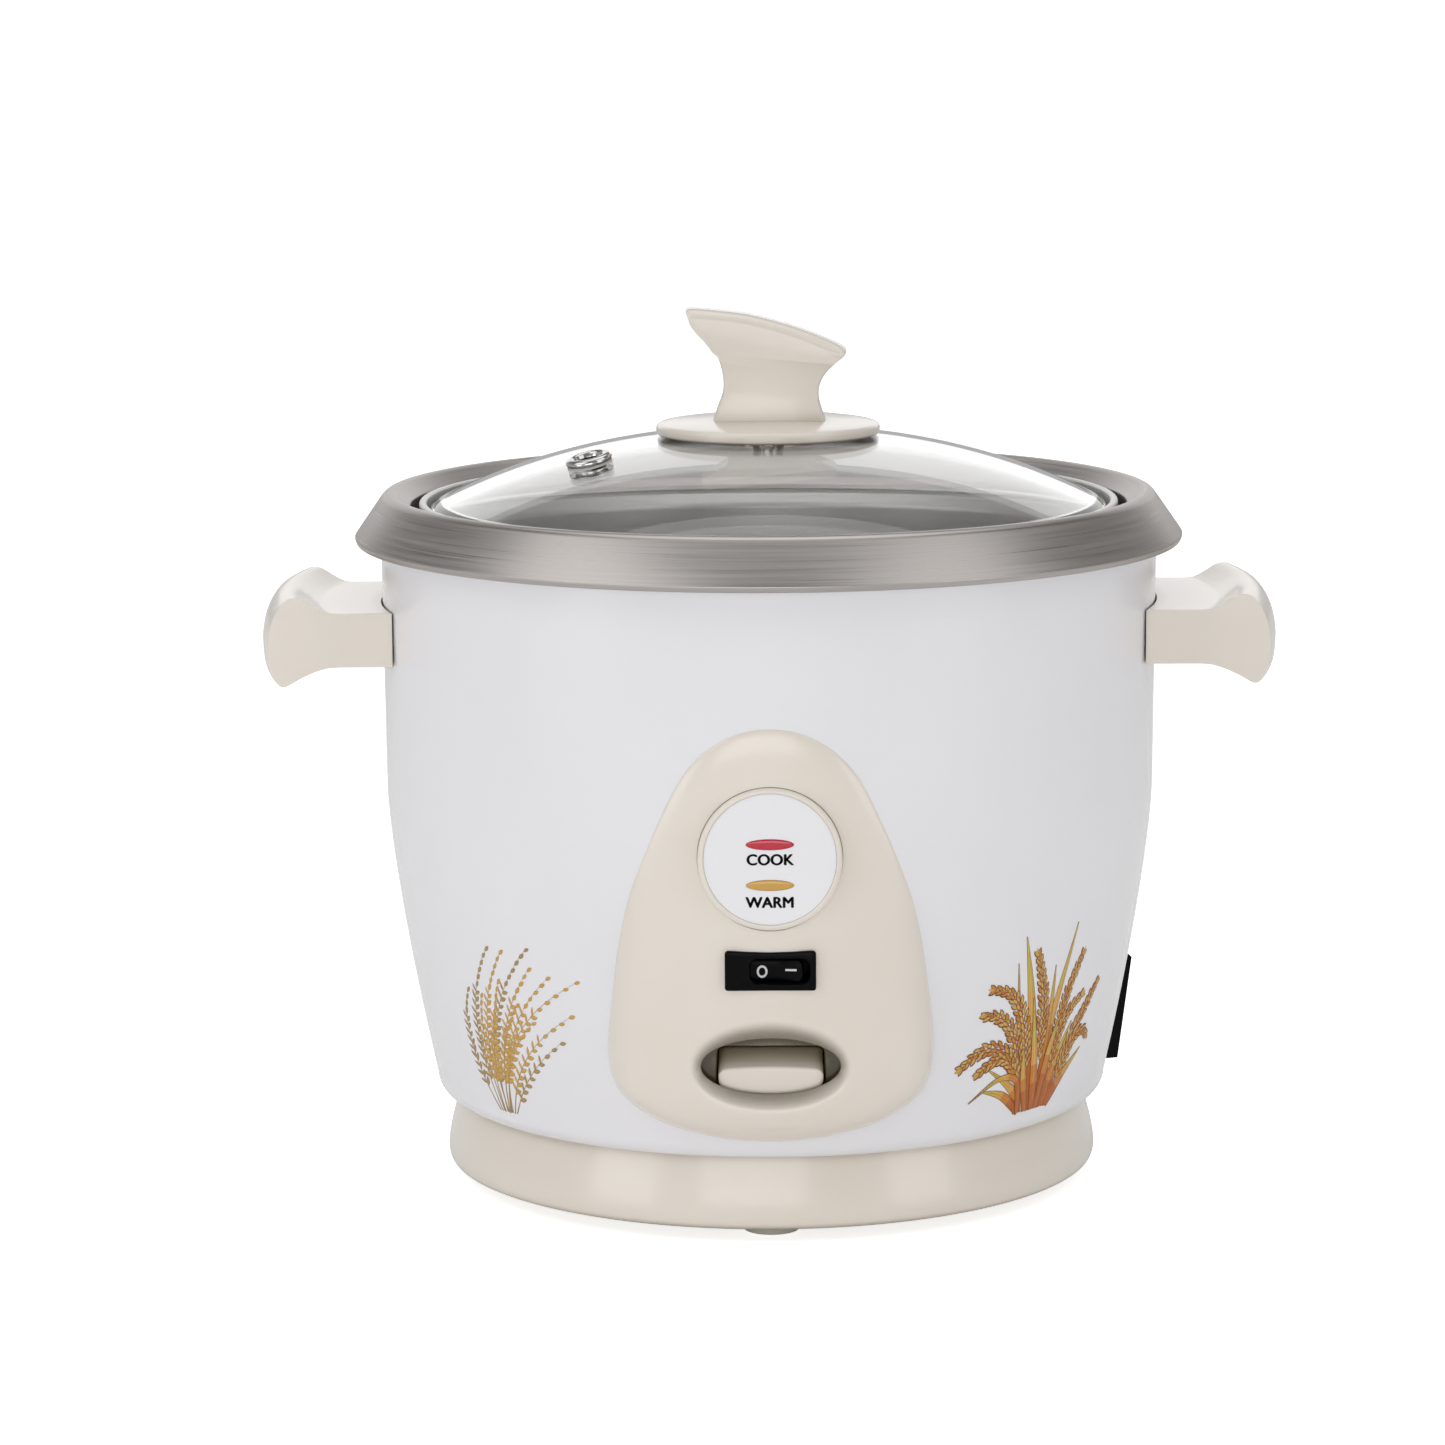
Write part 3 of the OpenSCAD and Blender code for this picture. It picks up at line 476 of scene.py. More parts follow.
def make_finishes():
    cream, cream_shade = rgb(230, 222, 211), rgb(225, 215, 202)

    def cream_finish(name):
        return plastic(name, cream, cream_shade, 0.33, 2600.0, 0.1, Coat_Weight=0.7, Coat_Roughness=0.14)

    grey, dark_grey = rgb(186, 184, 180), rgb(150, 148, 145)
    return {
        "enamel": plastic("White Enamel", rgb(234, 233, 236), rgb(230, 229, 232), 0.2, 900.0, 0.03,
                          Coat_Weight=0.6, Coat_Roughness=0.08),
        "rim_steel": around_z(finish_from(
            "Brushed Rim Steel", brushing,
            {"Colour": rgb(192, 187, 184), "Dark": rgb(146, 140, 136), "Roughness": 0.33, "Lines": 4200.0,
             "Patches": 0.4}, bump=0.2, depth=0.02, Metallic=1.0), 0.5),
        # Three copies of the cream plastic that differ only in the shade painted into their hollows: mild on
        # most cream parts, dark olive inside the oval around the lever opening on the panel, and on the lever
        # key.
        "cream_plastic": paint_shade_in_hollows(cream_finish("Cream Plastic"), rgb(150, 138, 112), 10, 0.75, 0.2),
        "cream_panel": paint_shade_in_hollows(cream_finish("Cream Panel Plastic"), rgb(70, 58, 26), 40, 1.0, 0.76,
                                     Height=WINDOW_Z, Half_Width=29, Half_Height=20),
        "cream_key": paint_shade_in_hollows(cream_finish("Cream Key Plastic"), rgb(156, 142, 104), 12, 0.7, 0.0),
        "white_plastic": plastic("White Plastic", rgb(238, 237, 240), rgb(233, 232, 235), 0.3),
        "black_plastic": plastic("Black Plastic", (0.002, 0.002, 0.0025, 1), (0.004, 0.004, 0.005, 1), 0.28,
                                 1800.0, 0.05, Specular_IOR_Level=0.07),
        "red_plastic": plastic("Red Plastic", (0.35, 0.02, 0.02, 1), (0.3, 0.02, 0.02, 1), 0.3),
        "red_lens": plastic("Red Lamp Window", rgb(196, 28, 52), rgb(172, 18, 40), 0.16, 1200.0, 0.05,
                            Coat_Weight=0.5),
        "amber_lens": plastic("Amber Lamp Window", rgb(206, 160, 70), rgb(190, 140, 52), 0.16, 1200.0, 0.05,
                              Coat_Weight=0.5),
        "lamp_glass": glass_finish("Lamp Glass", (0.95, 0.8, 0.7, 1), 0.05),
        "foot_rubber": plastic("Foot Rubber", rgb(196, 194, 186), rgb(180, 178, 170), 0.7, 1500.0, 0.3),
        "zinc_hardware": sheet_metal("Zinc Hardware", rgb(200, 200, 198), rgb(170, 170, 168), 0.25, 400.0),
        "zinc_sheet": sheet_metal("Zinc Sheet", rgb(190, 192, 190), rgb(160, 162, 160), 0.38, 110.0),
        "cast_aluminium": around_z(finish_from(
            "Turned Aluminium", brushing, {"Colour": rgb(205, 206, 208), "Dark": rgb(170, 171, 174),
                                           "Roughness": 0.42, "Lines": 1400.0},
            bump=0.4, depth=0.05, Metallic=1.0), 0.3),
        "pot_aluminium": around_z(finish_from(
            "Spun Pot Aluminium", brushing, {"Colour": rgb(238, 237, 234), "Dark": rgb(216, 215, 212),
                                             "Roughness": 0.46, "Lines": 1800.0},
            bump=0.2, depth=0.03, Metallic=1.0), 0.4),
        "element_steel": sheet_metal("Element Steel", rgb(120, 112, 106), rgb(84, 78, 74), 0.5, 90.0),
        "spring_steel": sheet_metal("Spring Steel", grey, dark_grey, 0.25, 300.0),
        "brass_contacts": sheet_metal("Brass Contacts", rgb(214, 190, 120), rgb(180, 154, 90), 0.28, 200.0),
        "ferrite_black": plastic("Ferrite", (0.04, 0.04, 0.045, 1), (0.07, 0.07, 0.07, 1), 0.55, 1300.0, 0.5),
        "ceramic_cream": plastic("Ceramic", rgb(220, 212, 196), rgb(206, 196, 178), 0.25, 700.0, 0.1,
                                 Coat_Weight=0.4),
        "lid_glass": glass_finish("Lid Glass", (0.985, 0.98, 0.975, 1), 0.02),
        "vent_chrome": sheet_metal("Polished Steel", rgb(214, 212, 210), rgb(190, 188, 186), 0.1, 60.0),
        "seal_silicone": plastic("Seal Silicone", rgb(206, 204, 198), rgb(190, 188, 180), 0.55, 1200.0, 0.2),
        "print_tan": plastic("Tan Print", rgb(166, 136, 84), rgb(186, 156, 104), 0.3),
        "print_straw": plastic("Straw Print", rgb(204, 156, 68), rgb(214, 172, 92), 0.3),
        "print_yellow": plastic("Yellow Print", rgb(202, 180, 78), rgb(214, 194, 100), 0.3),
        "print_gold": plastic("Gold Print", rgb(214, 162, 74), rgb(230, 188, 108), 0.3),
        "print_orange": plastic("Orange Print", rgb(202, 126, 40), rgb(214, 148, 58), 0.3),
        "print_rust": plastic("Rust Print", rgb(182, 94, 26), rgb(196, 114, 40), 0.3),
        "print_brown": plastic("Brown Print", rgb(112, 60, 20), rgb(136, 80, 30), 0.3),
        "print_black": plastic("Black Print", (0.02, 0.02, 0.02, 1), (0.03, 0.03, 0.03, 1), 0.4),
        "print_white": plastic("White Print", rgb(214, 214, 214), rgb(200, 200, 200), 0.4),
    }


finishes = make_finishes()


def dress_cad_nodes():
    """Gives each CAD node that stays in view the finish of its own slot."""
    slots = {part["node"]: part["material_slot"] for part in frame["record"]["subparts"]}
    for name, node in frame["nodes"].items():
        for material_slot in node.material_slots:
            material_slot.material = finishes[slots[name]]


dress_cad_nodes()

# ---------- casing ----------

CASING_TOP = 200
KNEE_Z = 122
HEM_Z = 32
BASE_TOP = 26
HEM_R = 98.6
SHEET = 0.9
POT_FLOOR = 80.3


def casing_r(z):
    """Outer radius of the casing at a height."""
    straight = 120 - 0.01 * (CASING_TOP - max(z, KNEE_Z))
    return straight - 14.4 * (max(KNEE_Z - z, 0) / (KNEE_Z - HEM_Z)) ** 1.35


def casing_line(inset):
    """Casing's outline from its bottom hem to its top, moved inwards by inset."""
    hem = []
    for k in range(9):
        angle = math.pi / 2 * k / 9
        hem.append((HEM_R + (casing_r(HEM_Z) - HEM_R - inset) * math.sin(angle),
                    HEM_Z - (HEM_Z - BASE_TOP - inset) * math.cos(angle)))
    wall = [(casing_r(z) - inset, z) for z in (HEM_Z + (CASING_TOP - HEM_Z) * k / 60 for k in range(61))]
    return hem + wall


def box_mesh(low, high):
    corners = [(low[0], low[1]), (high[0], low[1]), (high[0], high[1]), (low[0], high[1])]
    return bar_mesh(corners, low[2], high[2], lambda x, y, h: (x, y, h))


def make_casing():
    flange_low, flange_high = CASING_TOP + 0.2, CASING_TOP + 1.1
    profile = ([(90, BASE_TOP)] + casing_line(0) + [(125.7, flange_low), (125.7, flange_high),
               (119.1, flange_high)] + casing_line(SHEET)[::-1] + [(90, BASE_TOP + SHEET)])
    casing = turned_piece("casing", profile, 288)
    socket = box_mesh((90, -13.6, 32.6), (130, 13.6, 52.4))
    spin = Matrix.Rotation(math.radians(20), 3, "Z")
    cut_away(casing, [box_mesh((-24.5, -125, 41), (24.5, -90, 69)), box_mesh((-22, -125, 66), (22, -95, 138)),
                      ([spin @ Vector(p) for p in socket[0]], socket[1])])
    return place(casing, "casing", "enamel", ["outer_shell"])


def make_rim():
    outside = [(124.6, 199.05, 0), (127.5, 199.0, 0.8), (128.0, 200.8, 0.7), (117.45, 216.0, 3.6),
               (110.7, 210.2, 1.2), (110.7, 202.0, 0)]
    inside = [(111.7, 202.0, 0), (111.7, 209.7, 0.6), (117.4, 214.5, 2.6), (126.7, 201.3, 0.4),
              (126.4, 200.12, 0.4), (124.6, 200.12, 0)]
    rim = turned_piece("rim", with_arcs(outside + inside, 8), 288)
    return place(rim, "casing", "rim_steel", ["rim_ring"])


def make_base():
    outside = curve_through([(97, 3.4), (99.2, 4), (100.7, 4.7), (101.5, 6.4), (101.6, 9), (100.8, 14),
                             (99.3, 20), (97.6, 25.95), (96.5, 30)], 5)
    inside = [(89.8, 25.95), (89.8, 28.4), (87.4, 28.4), (87.4, 23.5), (95.1, 23.5), (96.6, 20), (98.1, 14),
              (99.1, 9), (99.1, 6.5), (71, 6.5), (71, 4)]
    base = turned_piece("base", [tuple(p) for p in outside] + inside, 256)
    return place(base, "casing", "cream_plastic", ["base_ring"])


def make_handle(side, name):
    """A handle's cross-section swept round the casing, with flat ends front and back."""
    section = curve_through([(120, 164), (136, 164), (141.5, 163.1), (146.5, 161), (150.5, 158.7),
                             (152.2, 158), (153.8, 158.5), (155.3, 160.6), (156.4, 163.8), (156.8, 168.3),
                             (156.8, 171.8), (156, 176.6), (154.6, 180.3), (152.6, 183.4), (150.8, 184.9),
                             (148.6, 185.4), (146.2, 184.8), (143.4, 183), (140.2, 181.2), (136.4, 180.6),
                             (120, 180.6)], 4)
    outline = [Vector((120.2, 164))] + section + [Vector((120.2, 180.6))]
    half_width = 36.4
    rows = [half_width * math.sin(math.pi / 2 * k / 14) for k in range(-14, 15)]
    rings = [[(side * math.sqrt(p[0] ** 2 - y * y), side * y, p[1]) for p in outline] for y in rows]
    handle = mesh_piece(name, *loft(rings, cap_first=True, cap_last=True), 40)
    soften(handle, 0.9, 4, 50)
    return place(handle, "casing", "cream_plastic", [name])


# ---------- control panel ----------

PANEL_FRONT = 121.5
LIP_W, LIP_H = 24.4, 15.0
MOUTH_W, MOUTH_H, MOUTH_Y = 20.6, 8.5, -117.0
RECESS_Z = 54.8
PLAN_R = 95
PLAN_Y = PANEL_FRONT - PLAN_R
INDICATOR_Z = 120.4
DISC_FRONT = -122.0
LAMP_Z = INDICATOR_Z - 1.6
SWITCH_Z = 87.3


def panel_front_y(x, z):
    """The panel's bulged front: a barrel about an upright line, drawn in towards its foot and its top."""
    radius = PLAN_R - 9.67e-5 * max(58 - z, 0) ** 3.63 - 0.0035 * max(z - 140, 0) ** 2
    return -(PLAN_Y + math.sqrt(radius ** 2 - x * x))


def casing_y(x, z):
    return -math.sqrt(casing_r(max(z, HEM_Z)) ** 2 - x * x)


def panel_outline(count):
    """Panel's outline seen from the front, as (x, z) points, and the outward direction at each."""
    right = [(-14, 33.4), (0, 32.4), (14, 33.4), (27, 36.2), (36.5, 40.2), (43.8, 45.6), (47, 51.4), (48, 58),
             (47.9, 66), (46.4, 79), (44.6, 92), (41.6, 106), (37.4, 118), (32, 131), (26, 143),
             (18.5, 151.5), (9.5, 156.6), (0, 158.2), (-9.5, 156.6)]
    half = curve_through(right, 8)
    whole = half + [Vector((-p[0], p[1])) for p in half[-2:0:-1]]
    points = spread_evenly(whole, count)
    normals = []
    for i in range(count):
        along = (points[(i + 1) % count] - points[i - 1]).normalized()
        normals.append(Vector((along[1], -along[0])))
    return points, normals


def panel_rings(count):
    """Rings of the panel's skin: from its outer edge over the front, into the opening, then back behind."""
    points, normals = panel_outline(count)
    middle = Vector((0, WINDOW_Z))
    turns = [math.atan2(p[1] - WINDOW_Z, p[0]) for p in points]
    columns = range(count)
    depth = [0.92 * (casing_y(*p) - panel_front_y(*p)) for p in points]
    roll = 7.0
    sunk = 0.4
    rings = [[(p[0], casing_y(*p) + sunk, p[1]) for p in points]]
    for step in range(13):
        angle = math.pi / 2 * step / 12
        ring = []
        for i in columns:
            q = points[i] - normals[i] * roll * (1 - math.cos(angle))
            ring.append((q[0], panel_front_y(*q) + depth[i] * (1 - math.sin(angle)), q[1]))
        rings.append(ring)
    start = [points[i] - normals[i] * roll for i in columns]
    lip = [middle + oval(LIP_W, LIP_H, turn) for turn in turns]
    for step in range(1, 41):
        share = step / 40
        flat = [start[i].lerp(lip[i], share) for i in columns]
        rings.append([(p[0], panel_front_y(*p), p[1]) for p in flat])
    for step in range(1, 19):
        share = step / 18
        bend = share ** 2 * (1.7 - 0.7 * share)
        ring = []
        for turn in turns:
            p = middle + oval(LIP_W + (MOUTH_W - LIP_W) * share, LIP_H + (MOUTH_H - LIP_H) * share, turn)
            ring.append((p[0], panel_front_y(*p) * (1 - bend) + MOUTH_Y * bend, p[1]))
        rings.append(ring)

    for shape, half_w, half_h, z, y in (
            (oval, 20.45, 8.35, WINDOW_Z, -116.85), (oval, 20.5, 8.4, WINDOW_Z, -116.45),
            (box_edge, 22.6, 12.1, 54.6, -116.4), (box_edge, 22.6, 12.1, 54.6, -113.5),
            (box_edge, 16.2, 10.5, 52.9, -113.4), (box_edge, 15.8, 10.2, 52.9, -113.0),
            (box_edge, 15.8, 9.6, 53.2, -105.1), (box_edge, 22.9, 13.3, RECESS_Z, -105)):
        rings.append([(q[0], y, q[1] + z) for q in (shape(half_w, half_h, turn) for turn in turns)])
    wall = 2.4

    def back_of_front(p, deep=wall):
        return (p[0], min(panel_front_y(*p) + deep, casing_y(*p) + sunk), p[1])

    recess = Vector((0, RECESS_Z))
    rings.append([back_of_front(recess + box_edge(24.6, 14.6, turn), 3.2) for turn in turns])
    for step in range(1, 8):
        share = step / 7
        ring = []
        for i in columns:
            near = recess + box_edge(25.6, 15.6, turns[i])
            far = points[i] - normals[i] * (wall + 1)
            ring.append(back_of_front(near.lerp(far, share)))
        rings.append(ring)
    hem = [points[i] - normals[i] * wall for i in columns]
    rings.append([(p[0], casing_y(*p) + sunk, p[1]) for p in hem])
    return rings


def upright_disc(radius, z, front, back, segments=128):
    circle = [oval(radius, radius, 2 * math.pi * k / segments) for k in range(segments)]
    return bar_mesh(circle, front, back, lambda x, y, h: (x, h, y + z))


def make_panel():
    panel = mesh_piece("control_panel_cover", *loft(panel_rings(300), closed=True), 38)
    opening = box_mesh((-12.2, -130, SWITCH_Z - 5.6), (12.2, -105, SWITCH_Z + 5.6))
    cut_away(panel, [upright_disc(21.25, INDICATOR_Z, -130, -105), opening])
    panel.data.shade_smooth()
    panel.data.set_sharp_from_angle(angle=math.radians(38))
    return place(panel, "casing", "cream_panel", ["control_panel"])


def facing_front(z):
    """Stands a shape that was turned about +Z so that its top faces the front, at a height."""
    return Matrix.Translation((0, 0, z)) @ Matrix.Rotation(math.radians(90), 4, "X")


def make_bezel():
    ring = with_arcs([(17.4, 114.6, 0), (21.1, 114.6, 0), (21.1, 122.5, 1.1), (19.35, 122.45, 0.5),
                      (19.35, 119.95, 0), (17.4, 119.95, 0)], 6)
    bezel = dish("lens_ring", ring, facing_front(INDICATOR_Z), 128)
    return place(bezel, "casing", "cream_plastic", ["lens_bezel"])


def make_words(text, height, z):
    """Generic words printed on the indicator disc."""
    curve = bpy.data.curves.new(text.lower() + "_word", "FONT")
    curve.body = text
    curve.size = height * MM * 1.4
    curve.align_x = "CENTER"
    curve.align_y = "CENTER"
    curve.extrude = 0.02 * MM
    curve.space_character = 1.02
    words = bpy.data.objects.new(text.lower() + "_word", curve)
    stand = Matrix.Translation(Vector((0, DISC_FRONT - 0.02, z)) * MM)
    words.matrix_world = stand @ Matrix.Rotation(math.radians(90), 4, "X")
    bpy.context.scene.collection.objects.link(words)
    bpy.context.view_layer.update()
    seen = bpy.context.evaluated_depsgraph_get()
    mesh = bpy.data.meshes.new_from_object(words.evaluated_get(seen))
    mesh.transform(words.matrix_world)
    bpy.data.objects.remove(words)
    thicker = bmesh.new()
    for x, up in ((0, 0), (0.2, 0), (-0.2, 0), (0, 0.12), (0, -0.12)):
        before = len(thicker.verts)
        thicker.from_mesh(mesh)
        bmesh.ops.translate(thicker, verts=thicker.verts[before:], vec=Vector((x, 0, up)) * MM)
    thicker.to_mesh(mesh)
    thicker.free()
    printed = bpy.data.objects.new(text.lower() + "_word", mesh)
    bpy.context.scene.collection.objects.link(printed)
    mesh.materials.clear()
    mesh.materials.append(finishes["print_black"])
    return place(printed, "casing", "white_plastic")


def make_lamp_window(name, z, slot):
    """Oval window with a softly domed front."""
    rings = []
    for share in (1.0, 0.98, 0.9, 0.75, 0.5, 0.25):
        bulge = 0.35 * math.sqrt(max(1 - share ** 2, 0))
        rings.append([(q[0], DISC_FRONT - bulge, q[1] + z) for q in
                      (oval(7.0 * share, 1.55 * share, 2 * math.pi * k / 48) for k in range(48))])
    back = [[(q[0], y, q[1] + z) for q in (oval(a, b, 2 * math.pi * k / 48) for k in range(48))]
            for a, b, y in ((8.2, 2.8, -118.9), (8.2, 2.8, -119.9), (7.0, 1.55, -119.9))]
    window = mesh_piece(name + "_window", *loft(back + rings, cap_first=True, cap_last=True), 45)
    return place(window, "casing", slot, [name])


# ---------- power switch ----------

ROCKER_X = 2.7
ROCKER_PIVOT = -115.3
ROCKER_REST = -9
ROCKER_HALF = 7.6
ROCKER_HALF_H = 3.2


def make_switch_frame():
    """Black surround whose upper edge dips a little in the middle, with a round-cornered opening."""
    outer = [(-13.3, -5.75, 0.8), (0, -5.7, 0), (13.3, -5.75, 0.8), (13.3, 6.1, 1.0), (6.6, 5.75, 0),
             (0, 5.6, 0), (-6.6, 5.75, 0), (-13.3, 6.1, 1.0)]
    count = 128

    def ring(corners, y, x=0):
        return [(p[0] + x, y, p[1] + SWITCH_Z) for p in spread_evenly(with_arcs(corners, 6), count)]

    def shrunk(by):
        return [(x - math.copysign(by, x) if x else 0, z - math.copysign(by, z), r) for x, z, r in outer]

    def rectangle(half_w, half_h, radius=0.4):
        return [(-half_w, -half_h, radius), (0, -half_h, 0), (half_w, -half_h, radius),
                (half_w, half_h, radius), (0, half_h, 0), (-half_w, half_h, radius)]

    rings = [ring(rectangle(12.1, 5.5), -108.2), ring(rectangle(12.1, 5.5), -120.95), ring(outer, -120.95),
             ring(outer, -121.9), ring(shrunk(0.12), -122.15), ring(shrunk(0.4), -122.3),
             ring(rectangle(8.95, 3.95, 2.6), -122.25, ROCKER_X),
             ring(rectangle(8.75, 3.75, 2.5), -121.9, ROCKER_X),
             ring(rectangle(8.7, 3.7, 2.4), -109.5, ROCKER_X)]
    bezel = mesh_piece("switch_surround", *loft(rings, cap_first=True, cap_last=True), 35)
    return place(bezel, "casing", "black_plastic", ["switch_frame"])


def at_rocker():
    return (Matrix.Translation((ROCKER_X, ROCKER_PIVOT, SWITCH_Z))
            @ Matrix.Rotation(math.radians(ROCKER_REST), 4, "Z"))


def rocker_face(x):
    """How far the rocker's hollow face stands in front of its pivot."""
    return -4.9 - 1.4 * min(abs(x) / ROCKER_HALF, 1) ** 1.4


def make_rocker():
    """Rocker cap: one outline at each height, shorter and shallower towards its upper and lower edges."""
    stand = at_rocker()
    slices = []
    for k in range(-12, 13):
        z = ROCKER_HALF_H * math.sin(math.pi / 2 * k / 12)
        near_edge = max((abs(z) - (ROCKER_HALF_H - 2.2)) / 2.2, 0)
        drawn_in = 1 - math.sqrt(max(1 - near_edge ** 2, 0))
        half = ROCKER_HALF - 2.0 * drawn_in
        sunk = 0.7 * drawn_in
        front = [(half * j / 8, rocker_face(half * j / 8) + sunk) for j in range(-8, 9)]
        outline = front + [(half, -3), (5, -0.5), (2, 3), (-2, 3), (-5, -0.5), (-half, -3)]
        slices.append([stand @ Vector((x, y, z)) for x, y in outline])
    axle = bar_mesh([oval(1.2, 1.2, math.pi * k / 12) for k in range(24)], -4.8, 4.8,
                    lambda x, y, h: stand @ Vector((x, y, h)))
    rocker = mesh_piece("rocker_cap", *joined([loft(slices, cap_first=True, cap_last=True), axle]), 40)
    return place(rocker, "rocker", "black_plastic", ["switch_rocker"])


def make_switch_marks():
    """The off ring and the on bar, printed on the rocker's two faces."""
    stand = at_rocker()

    def on_face(x, z, lift):
        return stand @ Vector((x, rocker_face(x) - lift, z))

    circle = []
    for radius_x, radius_z, lift in (
            (1.55, 1.85, 0.0), (1.55, 1.85, 0.05), (0.95, 1.2, 0.05), (0.95, 1.2, 0.0)):
        circle.append([on_face(-4.3 + radius_x * math.cos(a), -0.4 + radius_z * math.sin(a), lift)
                       for a in (2 * math.pi * k / 40 for k in range(40))])
    bar = bar_mesh([(2.5, -0.1), (5.9, 0.1), (5.9, 0.7), (2.5, 0.5)], 0.0, 0.05, on_face)
    marks = mesh_piece("switch_marks", *joined([loft(circle, closed=True), bar]))
    marks.data.materials.append(finishes["print_white"])
    return place(marks, "rocker", "black_plastic")


# ---------- cook lever ----------

def make_lever_knob():
    """Barrel-shaped key: each slice across it is one outline, rounded off towards the two ends."""
    half = 15.4
    slices = []
    for k in range(-20, 21):
        x = half * math.sin(math.pi / 2 * k / 20)
        share = abs(x) / half
        past = min(max((abs(x) - (half - 2.6)) / 2.6, 0), 0.999)
        drop = 2.5 * (1 - math.sqrt(1 - past ** 2))
        low = 48.9 + 2.2 * share ** 2 + drop
        high = 57.2 - 0.8 * share ** 2 - 0.8 * drop
        front = -115.6 + 0.3 * drop
        top = 61.3 - 0.5 * drop
        calm = 1 - 0.9 * past
        profile = with_arcs([(front, low, 0.7 * calm), (front, high, 1.2 * calm), (-106.6, top, 2.5),
                             (-99.2, top + 0.1, 0.4), (-99.2, max(50.95, low + 0.1), 0),
                             (-112.3, max(50.95, low + 0.1), 0), (-112.3, low, 0)], 6)
        slices.append([(x, p[0], p[1]) for p in profile])
    knob = mesh_piece("cook_lever_key", *loft(slices, cap_first=True, cap_last=True), 40)
    return place(knob, "cook_lever", "cream_key", ["lever_knob"])


# ---------- pot and lid ----------

GLASS_R = 105
GLASS_EDGE_Z = 209.6
DOME_RISE = 22.6
DOME_POWER = 2.3
GLASS_T = 4


def glass_z(r):
    return GLASS_EDGE_Z + DOME_RISE * (1 - (r / GLASS_R) ** DOME_POWER)


def make_pot():
    lip = [(100.5, 190, 0), (100.5, 200.5, 3), (104.0, 204.1, 2), (106.9, 204.1, 0.5), (106.9, 208.0, 0.5),
           (108.1, 208.0, 0.8), (108.1, 211.4, 1.1), (105.7, 211.4, 0.9), (105.7, 205.2, 0.6),
           (103.2, 205.0, 1.5), (99.3, 200.9, 3), (99.3, 190, 0)]
    bend = [(100.5 - 10 + 10 * math.sin(a), POT_FLOOR + 10 - 10 * math.cos(a))
            for a in (math.pi / 2 * k / 8 for k in range(9))]
    inner = [(90.5 + 8.8 * math.sin(a), POT_FLOOR + 10 - 8.8 * math.cos(a))
             for a in (math.pi / 2 * k / 8 for k in range(8, -1, -1))]
    profile = [(0, POT_FLOOR), (45, POT_FLOOR)] + bend + with_arcs(lip, 6, closed=False) + inner
    profile += [(45, POT_FLOOR + 1.2), (0, POT_FLOOR + 1.2)]
    return place(turned_piece("pot", profile, 256), "pot", "pot_aluminium", ["inner_pot"])


def make_glass():
    radii = [4.2 + (GLASS_R - 2.2 - 4.2) * k / 48 for k in range(49)]
    top = [(r, glass_z(r)) for r in radii]
    low = [(r, glass_z(r) - GLASS_T) for r in radii[::-1]]
    middle_z = GLASS_EDGE_Z - GLASS_T / 2 + 0.4
    edge = [(GLASS_R - 2 + 1.95 * math.cos(a), middle_z + 1.9 * math.sin(a))
            for a in (math.pi / 2 - math.pi * k / 12 for k in range(1, 12))]
    glass = turned_piece("lid_glass", top + edge + low, 256, 40)
    lean = vent_frame()
    drill = bar_mesh([oval(5.2, 5.2, 2 * math.pi * k / 64) for k in range(64)], -9, 8,
                     lambda x, y, h: lean @ Vector((x, y, h)))
    cut_away(glass, [drill])
    glass.data.shade_smooth()
    glass.data.set_sharp_from_angle(angle=math.radians(40))
    return place(glass, "lid", "lid_glass", ["glass_lid"])


def vent_frame():
    """Middle of the vent on the glass, tilted with the dome."""
    x, y = -54, -32
    r = math.hypot(x, y)
    lean = math.atan(DOME_POWER * DOME_RISE / GLASS_R * (r / GLASS_R) ** (DOME_POWER - 1))
    return (Matrix.Translation((x, y, glass_z(r))) @ Matrix.Rotation(math.atan2(y, x), 4, "Z")
            @ Matrix.Rotation(lean, 4, "Y"))


def make_vent():
    profile = with_arcs([(4.0, -5.4, 0.2), (6.4, -5.6, 0.3), (6.4, -4.8, 0.2), (4.8, -4.6, 0.2),
                         (4.8, 0.9, 0.1), (7.15, 0.9, 0.8), (7.15, 2.9, 1.4), (4.6, 3.2, 1.2),
                         (4.0, 1.6, 0.5)], 7)
    vent = dish("steam_vent", profile, vent_frame(), 72, 40)
    return place(vent, "lid", "vent_chrome", ["vent_eyelet"])


